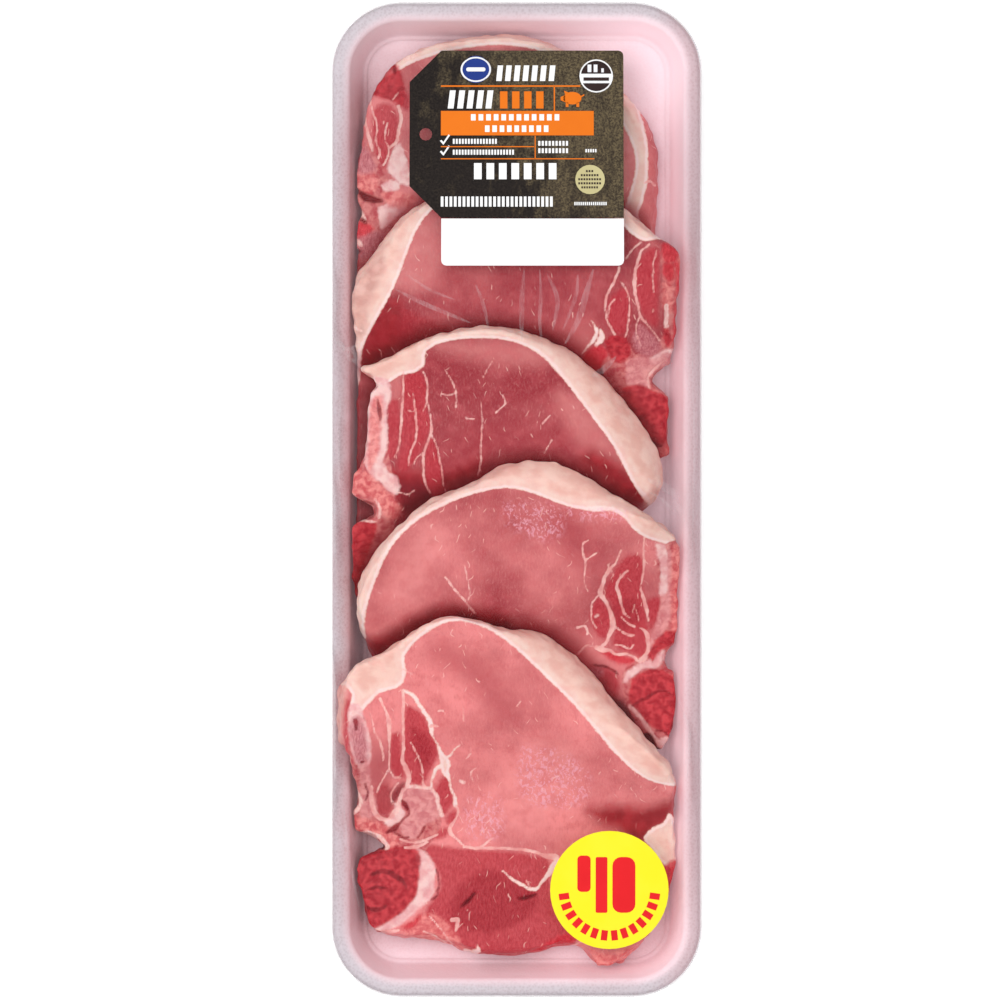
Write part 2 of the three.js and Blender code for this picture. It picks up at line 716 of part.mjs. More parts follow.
// The film is a thin skin: over the meat, round the rim and down to a tuck by the tray's foot.
function addFilm(sheet) {
  const ring = (inset, z) => trayRing(inset, FILM_STEP).map(({ x, y }) => new THREE.Vector3(x, y, z));
  const onSheet = (inset, down) => {
    const points = ring(inset, 0);
    for (const point of points)
      point.z = Math.max(sheet.at(point.x, point.y), TRAY.height + SKIN) - down;
    return points;
  };
  const wall = (outset, down) => [
    ring(FILM.tuckInset - outset, FILM.tuckHeight),
    ring(-outset, TRAY.height - 4.6),
    ring(-outset, TRAY.height - 1.6),
    onSheet(1.6, down),
    onSheet(RIM_INNER - 1.5, down),
  ];
  const outside = wall(SKIN, 0);
  const inside = wall(FILM.gap, FILM.thickness);
  const edge = outside.at(-1);
  const inner = latticeInside(edge, FILM_STEP);
  const triangles = triangulate(edge, inner);
  const lifted = (down) =>
    inner.map(({ x, y }) => new THREE.Vector3(x, y, sheet.at(x, y) - down));
  const skin = skinOf(
    [...inside.reverse(), ...outside],
    { inner: lifted(FILM.thickness), triangles },
    { inner: lifted(0), triangles },
  );
  addMesh("film", skin, "film");
}

// A thin card of a loop that follows the height of what it lies on.
function card(loop, heightAt, base, thickness) {
  const corners = loop.map(([x, y]) => new THREE.Vector2(x, y));
  const edge = corners.flatMap((from, i) => {
    const to = corners[(i + 1) % corners.length];
    const pieces = Math.max(1, Math.round(from.distanceTo(to) / CARD_STEP));
    return Array.from({ length: pieces }, (_, k) => from.clone().lerp(to, k / pieces));
  });
  const inner = latticeInside(edge, CARD_STEP);
  const triangles = triangulate(edge, inner);
  const lifted = (points, up) =>
    points.map(({ x, y }) => new THREE.Vector3(x, y, heightAt(x, y) + up));
  return skinOf(
    [lifted(edge, base), lifted(edge, base + thickness)],
    { inner: lifted(inner, base), triangles },
    { inner: lifted(inner, base + thickness), triangles },
  );
}

// Points of an arc about a centre, anticlockwise from one angle to another, in quarter turns.
function arc([x, y], radius, from, to, steps) {
  return Array.from({ length: steps + 1 }, (_, i) => {
    const angle = (Math.PI / 2) * THREE.MathUtils.lerp(from, to, i / steps);
    return [x + radius * Math.cos(angle), y + radius * Math.sin(angle)];
  });
}

const disc = (centre, radius, steps) => arc(centre, radius, 0, 4, steps).slice(0, -1);

function tagLoop() {
  const [labelX, labelY] = LABEL.centre;
  const [left, right] = [labelX - LABEL.width / 2, labelX + LABEL.width / 2];
  const top = labelY + (LABEL.tagLength + LABEL.panelLength) / 2;
  const bottom = top - LABEL.tagLength + PART_GAP;
  const { cut, corner } = LABEL;
  return [
    [left, bottom + cut],
    [left + cut, bottom],
    [right, bottom],
    ...arc([right - corner, top - corner], corner, 0, 1, 3),
    [left + cut, top],
    [left, top - cut],
  ];
}

function panelLoop() {
  const [labelX, labelY] = LABEL.centre;
  const [left, right] = [labelX - LABEL.width / 2 + LABEL.cut, labelX + LABEL.width / 2];
  const bottom = labelY - (LABEL.tagLength + LABEL.panelLength) / 2;
  const top = bottom + LABEL.panelLength;
  const { corner } = LABEL;
  return [
    [left, top],
    ...arc([left + corner, bottom + corner], corner, 2, 3, 3),
    ...arc([right - corner, bottom + corner], corner, 3, 4, 3),
    [right, top],
  ];
}

function addLabel(heightAt) {
  const [labelX, labelY] = LABEL.centre;
  const { hole, band, badges } = LABEL;
  const punch = disc([labelX + hole.x, labelY + hole.y], hole.radius, 12);
  const tag = solidOf(card(tagLoop(), heightAt, CARD.gap, CARD.thickness));
  const punched = tag.subtract(prism(punch.map(([x, y]) => ({ x, y }))));
  addMesh("label_tag", geometryOf(punched), "card");
  addMesh("label_panel", card(panelLoop(), heightAt, CARD.gap, CARD.thickness), "paper");

  const face = CARD.gap + CARD.thickness + CARD.inkGap;
  const [x0, x1] = [labelX + band.x - band.width / 2, labelX + band.x + band.width / 2];
  const [y0, y1] = [labelY + band.y - band.length / 2, labelY + band.y + band.length / 2];
  const bandLoop = [[x0, y0], [x1, y0], [x1, y1], [x0, y1]];
  addMesh("label_band", card(bandLoop, heightAt, face, CARD.ink), "orange");
  for (const { name, x, y, radius, colour } of badges) {
    const loop = disc([labelX + x, labelY + y], radius, 24);
    addMesh(name, card(loop, heightAt, face, CARD.ink), colour);
  }
}

function addSticker(heightAt) {
  const loop = disc(STICKER.centre, STICKER.radius, 48);
  addMesh("price_sticker", card(loop, heightAt, CARD.gap, CARD.thickness), "yellow");
}

addTray();
const laid = addChops();
const { sheet, labelHeight, stickerHeight } = stretchFilm(laid);
addFilm(sheet);
addLabel(labelHeight);
addSticker(stickerHeight);

export default pack;
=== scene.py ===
"""The looks of a meat tray pack: five bone-in chops in a foam tray under stretch film, with a card
label and a price sticker. Everything is in metres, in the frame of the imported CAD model."""

import math

import bmesh
import bpy
import numpy as np
from mathutils import Matrix, Vector, noise
from mathutils.bvhtree import BVHTree


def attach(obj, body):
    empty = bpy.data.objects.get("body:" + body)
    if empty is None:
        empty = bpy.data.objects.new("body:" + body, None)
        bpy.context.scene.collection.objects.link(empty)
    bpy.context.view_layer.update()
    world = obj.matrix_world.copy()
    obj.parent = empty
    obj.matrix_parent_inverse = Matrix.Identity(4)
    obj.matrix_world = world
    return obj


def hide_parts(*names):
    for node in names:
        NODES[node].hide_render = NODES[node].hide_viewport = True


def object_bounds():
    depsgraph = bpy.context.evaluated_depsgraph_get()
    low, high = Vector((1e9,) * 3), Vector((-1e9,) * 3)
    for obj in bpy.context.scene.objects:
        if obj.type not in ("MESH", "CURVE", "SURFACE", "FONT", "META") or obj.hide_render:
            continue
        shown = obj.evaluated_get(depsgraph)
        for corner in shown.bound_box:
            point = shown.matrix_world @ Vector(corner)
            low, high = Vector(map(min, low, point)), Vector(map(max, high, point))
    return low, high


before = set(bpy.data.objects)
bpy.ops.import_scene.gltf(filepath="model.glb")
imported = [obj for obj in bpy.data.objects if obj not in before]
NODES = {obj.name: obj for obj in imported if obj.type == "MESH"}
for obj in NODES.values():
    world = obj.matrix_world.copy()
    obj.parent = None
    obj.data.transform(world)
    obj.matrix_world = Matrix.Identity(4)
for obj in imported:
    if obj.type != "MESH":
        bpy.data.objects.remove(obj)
CAD_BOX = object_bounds()
MM = 0.001
ROOT = "root"
noise.seed_set(1)  # or the noise would be another in each run

# ---- Driving dimensions, in metres unless a name says otherwise ----

TRAY = {
    "width": 0.1449, "length": 0.3909, "corner": 0.027, "least_corner": 0.009,
    "corner_steps": 16, "side_step": 0.008, "wave": 0.03, "unevenness": 0.00012,
    "uneven_above": (0.002, 0.01), "inside": (0.003, 0.0075), "stain_width": 0.008,
    "least_stain": 0.45, "meat_shaded_side": (0.045, 0.062),
}
# The tray's wall from under its floor round the rim to its inner floor: (in from the edge, height).
TRAY_WALL = [
    (0.040, 0.0012), (0.024, 0.0012), (0.022, 0.0), (0.0135, 0.0), (0.0105, 0.0015),
    (0.0046, 0.021), (0.0008, 0.0216), (0.0, 0.024), (0.0008, 0.0262), (0.0028, 0.027),
    (0.0052, 0.0266), (0.0068, 0.025), (0.0078, 0.021), (0.011, 0.009), (0.013, 0.0062),
    (0.017, 0.005), (0.040, 0.005),
]
UNDERSIDE_POINTS = 6  # of the wall's points, the first ones, which lie under the tray
CHOP = {
    "voxel": 0.00071, "swell": 0.0003, "wobble": 0.0002, "shade": 0.011, "near": 0.006,
    "first_passes": 8, "look_passes": 20, "flat_passes": 200, "depth_passes": 12,
    "flat": (0.93, 0.985), "bumpy_fat": (-1, 2), "every": 40,
}
# Waves over a chop: their size in millimetres, their amount and what sets their seed apart.
CHOP_WAVES = {
    "wander": (3, 0.3, 0), "fine_wander": (1.1, 0.14, 3), "lumps": (7, 1.0, 5), "ripple": (14, 1.0, 9),
    "ragged_edge": (4.5, 0.0009, 13), "tone": (30, 0.25, 0),
}
# Relief by how deep a point is in a kind of mark: its height, and where it starts and is full, in mm.
RELIEF = {
    "cap": (0.00012, -0.6, 0.8), "seam": (-0.00015, -0.4, 0.2), "pit": (-0.0009, -0.8, 0.8),
    "bone": (-0.00015, -0.5, 0.5),
}
FILM = {
    "over_meat": 0.0004, "crease": 0.00005, "widening": 1.5, "taper": 0.06, "levels": 3,
    "wave": 0.02, "unevenness": 0.00015, "end": 0.073, "least_up": 0.3, "least_out": 0.2,
    "most_down": -0.6, "top_inset": (0.006, 0.010), "top_height": (0.020, 0.026),
    "wall_height": (0.004, 0.008), "rounds": 6, "round_passes": 12, "last_passes": 3,
    "wall_passes": 4, "wall_weight": 0.6,
}
FILM_UNDER = {
    "lift": 0.0001, "inner": 0.058, "ring_step": 0.004, "fold": 0.00025, "fold_size": 0.009,
    "fold_stretch": (1, 0.35, 1), "folded": (0.02, 0.03),
}
LABEL = {"centre": (0.0, 0.134), "half": (0.042, 0.0425), "hold": (-0.010, -0.002), "print": 0.00006}
BADGES = {"blue": (-16.0, 35.0), "white": (31.3, 32.4), "cream": (28.8, -8.6)}
STICKER = {"centre": (0.0365, -0.1535), "radius": 0.0233, "hold": (-0.009, -0.002)}
PRINT_STEP = 3 * MM  # between cuts across the print, so that it follows the card's bend
SKY = 0.08  # above everything in the pack
CAMERA = {"place": (-0.0065, -0.0002, 3.308), "lens_mm": 300.0, "sensor_mm": 36.0}
LIGHTS = {"key": ((-0.4, 0.1, 1.25), 0.8, 9.5), "fill": ((0.7, -0.5, 1.1), 1.0, 3)}
FLOOR = {"half": 9, "height": -0.00015, "glow": 0.45, "sky": 0.55}

# ---- Node materials ----


def linear(colour):
    """A colour of three display values, 0-255, in linear light; any other stays as it is."""
    if not isinstance(colour, tuple) or len(colour) == 4:
        return colour
    shares = [value / 255 for value in colour]
    light = [s / 12.92 if s <= 0.04045 else ((s + 0.055) / 1.055) ** 2.4 for s in shares]
    return (*light, 1.0)


class Look:
    """A node material, built with short calls. Sizes of patterns are in millimetres, and a colour is
    three display values, four linear ones or what another node gives."""

    def __init__(self, name):
        self.material = bpy.data.materials.new(name)
        self.material.use_nodes = True
        self.tree = self.material.node_tree
        self.tree.nodes.clear()
        self.place = self.node("ShaderNodeTexCoord").outputs["Object"]

    def node(self, kind, inputs=None, **settings):
        node = self.tree.nodes.new(kind)
        for key, value in settings.items():
            setattr(node, key, value)
        for key, value in (inputs or {}).items():
            if isinstance(value, bpy.types.NodeSocket):
                self.tree.links.new(value, node.inputs[key])
            else:
                node.inputs[key].default_value = value
        return node

    def stretched(self, along_x, along_y, along_z=1, turn=0.0):
        """The place, with a pattern drawn out along each axis by these factors."""
        inputs = {
            "Vector": self.place,
            "Rotation": (0, 0, math.radians(turn)),
            "Scale": (1 / along_x, 1 / along_y, 1 / along_z),
        }
        return self.node("ShaderNodeMapping", inputs).outputs["Vector"]

    def noise(self, size, detail=3.0, roughness=0.5, place=None, warp=0.0, output="Fac"):
        inputs = {
            "Vector": place or self.place,
            "Scale": 1 / (size * MM),
            "Detail": detail,
            "Roughness": roughness,
            "Distortion": warp,
        }
        return self.node("ShaderNodeTexNoise", inputs).outputs[output]

    def cells(self, size, place=None):
        inputs = {"Vector": place or self.place, "Scale": 1 / (size * MM)}
        return self.node("ShaderNodeTexVoronoi", inputs).outputs

    def attribute(self, name):
        return self.node("ShaderNodeAttribute", attribute_name=name).outputs["Fac"]

    def axes(self, place=None):
        return self.node("ShaderNodeSeparateXYZ", {0: place or self.place}).outputs

    def math(self, operation, *values, clamp=False):
        inputs = dict(enumerate(values))
        return self.node("ShaderNodeMath", inputs, operation=operation, use_clamp=clamp).outputs[0]

    def times(self, first, second, clamp=False):
        return self.math("MULTIPLY", first, second, clamp=clamp)

    def vector(self, operation, first, second):
        return self.node("ShaderNodeVectorMath", {0: first, 1: second}, operation=operation).outputs[0]

    def scaled(self, value, low, high, to_low=0.0, to_high=1.0):
        """A value's smooth step from low to high, as a number from to_low to to_high."""
        inputs = {0: value, 1: low, 2: high, 3: to_low, 4: to_high}
        return self.node("ShaderNodeMapRange", inputs, interpolation_type="SMOOTHSTEP").outputs[0]

    def mix(self, factor, first, second, blend="MIX"):
        inputs = {0: factor, 6: linear(first), 7: linear(second)}
        return self.node("ShaderNodeMix", inputs, data_type="RGBA", blend_type=blend).outputs[2]

    def tint(self, base, colour, value, low, high, most=1.0):
        """A colour laid over another as a value goes from low to high, at most this thickly."""
        return self.mix(self.scaled(value, low, high, 0, most), base, colour)

    def bump(self, height, depth, normal=None):
        """Relief as deep as depth, in millimetres, where the height runs from 0 to 1."""
        inputs = {"Height": height, "Distance": depth * MM, "Strength": 1.0}
        if normal:
            inputs["Normal"] = normal
        return self.node("ShaderNodeBump", inputs).outputs["Normal"]

    def dashes(self, size, width, length, share):
        """Short bent hairs, one in each of a share of cells of a size, all in millimetres."""
        bend = self.noise(size, 1.0, output="Color")
        bend = self.vector("SUBTRACT", bend, (0.5, 0.5, 0.5))
        place = self.vector("ADD", self.place, self.vector("MULTIPLY", bend, (size * MM,) * 3))
        cell = self.cells(size, place)
        draw = self.node("ShaderNodeSeparateColor", {0: cell["Color"]}).outputs
        away = self.vector("SUBTRACT", place, cell["Position"])
        turn = self.math("MULTIPLY_ADD", draw[0], 1.6, -0.8)
        away = self.node("ShaderNodeVectorRotate", {0: away, "Angle": turn}, rotation_type="Z_AXIS")
        across, along = self.axes(away.outputs[0])[:2]
        thin = self.scaled(self.math("ABSOLUTE", across), width * MM, width * MM * 0.2)
        short = self.scaled(self.math("ABSOLUTE", along), length * MM, length * MM * 0.4)
        return self.times(self.times(thin, short), self.math("LESS_THAN", draw[1], share))

    def finish(self, shader):
        self.node("ShaderNodeOutputMaterial", {"Surface": shader})
        return self.material

    def principled(self, **inputs):
        names = {key: key.replace("_", " ").title().replace("Ior", "IOR") for key in inputs}
        inputs = {names[key]: value for key, value in inputs.items()}
        return self.node("ShaderNodeBsdfPrincipled", inputs).outputs[0]

# ---- Meshes ----


def make_mesh(name, points, faces):
    mesh = bpy.data.meshes.new(name)
    mesh.from_pydata([tuple(point) for point in points], [], [tuple(face) for face in faces])
    mesh.polygons.foreach_set("use_smooth", [True] * len(mesh.polygons))
    mesh.update()
    return mesh


def move_points(mesh, places):
    mesh.vertices.foreach_set("co", places.ravel())
    mesh.update()


def modified(mesh, kind, **settings):
    """A mesh as one of Blender's modifiers makes it."""
    obj = bpy.data.objects.new("modified", mesh)
    bpy.context.scene.collection.objects.link(obj)
    modifier = obj.modifiers.new("modifier", kind)
    for key, value in settings.items():
        setattr(modifier, key, value)
    graph = bpy.context.evaluated_depsgraph_get()
    result = bpy.data.meshes.new_from_object(obj.evaluated_get(graph))
    bpy.data.objects.remove(obj)
    result.name = mesh.name
    return result


def set_material(mesh, material):
    mesh.materials.clear()
    mesh.materials.append(material)


def add_piece(name, mesh, material, replaced=()):
    """Adds an object to the pack, which rides on it, and stands for the CAD nodes it replaces."""
    piece = bpy.data.objects.new(name, mesh)
    bpy.context.scene.collection.objects.link(piece)
    set_material(mesh, material)
    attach(piece, ROOT)
    if replaced:
        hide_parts(*replaced)
    return piece


def read_values(items, name, width, kind=float):
    values = np.empty(len(items) * width, kind)
    items.foreach_get(name, values)
    return values.reshape(-1, width)


def points_of(mesh):
    return read_values(mesh.vertices, "co", 3)


def edges_of(mesh):
    return read_values(mesh.edges, "vertices", 2, int)


def normals_of(mesh):
    return read_values(mesh.vertex_normals, "vector", 3)


def welded(node):
    """The points and the triangles of a CAD node, with the points that lie together as one."""
    mesh = NODES[node].data
    mesh.calc_loop_triangles()
    corners = read_values(mesh.loop_triangles, "vertices", 3, int)
    keys = np.round(points_of(mesh) / (0.001 * MM)).astype(int)
    _, first, place = np.unique(keys, axis=0, return_index=True, return_inverse=True)
    return points_of(mesh)[first], place.ravel()[corners]


def face_normals(points, faces):
    """The normal of each triangle, as long as twice its area."""
    corners = points[faces]
    return np.cross(corners[:, 1] - corners[:, 0], corners[:, 2] - corners[:, 0])


def tree_of(points, faces):
    return BVHTree.FromPolygons([tuple(p) for p in points], [tuple(map(int, f)) for f in faces])


def tree_of_mesh(mesh):
    return tree_of(points_of(mesh), [face.vertices for face in mesh.polygons])


def distances(tree, places, reach):
    """How far each place is from the faces of a tree, up to a reach."""
    found = [tree.find_nearest(Vector(place), reach)[3] for place in places]
    return np.array([reach if distance is None else distance for distance in found])


def highest(trees, places):
    """The height of the highest surface under each place in plan, or -1 where there is none."""
    down = Vector((0, 0, -1))
    heights = np.full(len(places), -1.0)
    for tree in trees:
        for i, (x, y) in enumerate(places):
            hit = tree.ray_cast(Vector((x, y, SKY)), down)[0]
            if hit:
                heights[i] = max(heights[i], hit.z)
    return heights


def neighbour_mean(values, edges, count):
    total = np.empty_like(values)
    for axis in range(values.shape[1]):
        column = values[:, axis]
        total[:, axis] = np.bincount(edges[:, 0], column[edges[:, 1]], len(values))
        total[:, axis] += np.bincount(edges[:, 1], column[edges[:, 0]], len(values))
    return total / count


def smoothed(values, edges, passes, weight=1.0):
    """Values of the points of a mesh, each drawn halfway to its neighbours' mean by each pass."""
    values = values.copy()
    count = np.maximum(np.bincount(edges.ravel(), minlength=len(values)), 1)[:, None]
    for _ in range(passes):
        values += 0.5 * weight * (neighbour_mean(values, edges, count) - values)
    return values


def soft_step(values, low, high):
    step = np.clip((values - low) / (high - low), 0, 1)
    return step * step * (3 - 2 * step)


def wavering(points, size, amount, seed=0.0):
    """A smooth random shift for each point, with waves of a size and up to about an amount."""
    shift = Vector((seed, seed * 1.7, seed * 0.6))
    return np.array([noise.noise_vector(Vector(p) / size + shift) for p in points]) * amount


def set_values(mesh, name, values):
    mesh.attributes.new(name, "FLOAT", "POINT").data.foreach_set("value", values)


def curve_through(points, steps):
    """A smooth curve through points, by Catmull and Rom, with steps from each to the next."""
    points = [Vector(p) for p in points]
    padded = [points[0]] + points + [points[-1]]
    curve = []
    for before, start, end, after in zip(padded, padded[1:], padded[2:], padded[3:]):
        for step in range(steps):
            t = step / steps
            curve.append(0.5 * (
                2 * start + (end - before) * t
                + (2 * before - 5 * start + 4 * end - after) * t ** 2
                + (3 * start - before - 3 * end + after) * t ** 3
            ))
    return curve + [points[-1]]


def lofted(rings):
    """The points and faces of a skin over rings that have the same number of points."""
    count = len(rings[0])
    points = [point for ring in rings for point in ring]
    faces = []
    for low in range(0, len(points) - count, count):
        for place in range(count):
            after = (place + 1) % count
            faces.append((low + place, low + after, low + count + after, low + count + place))
    return points, faces
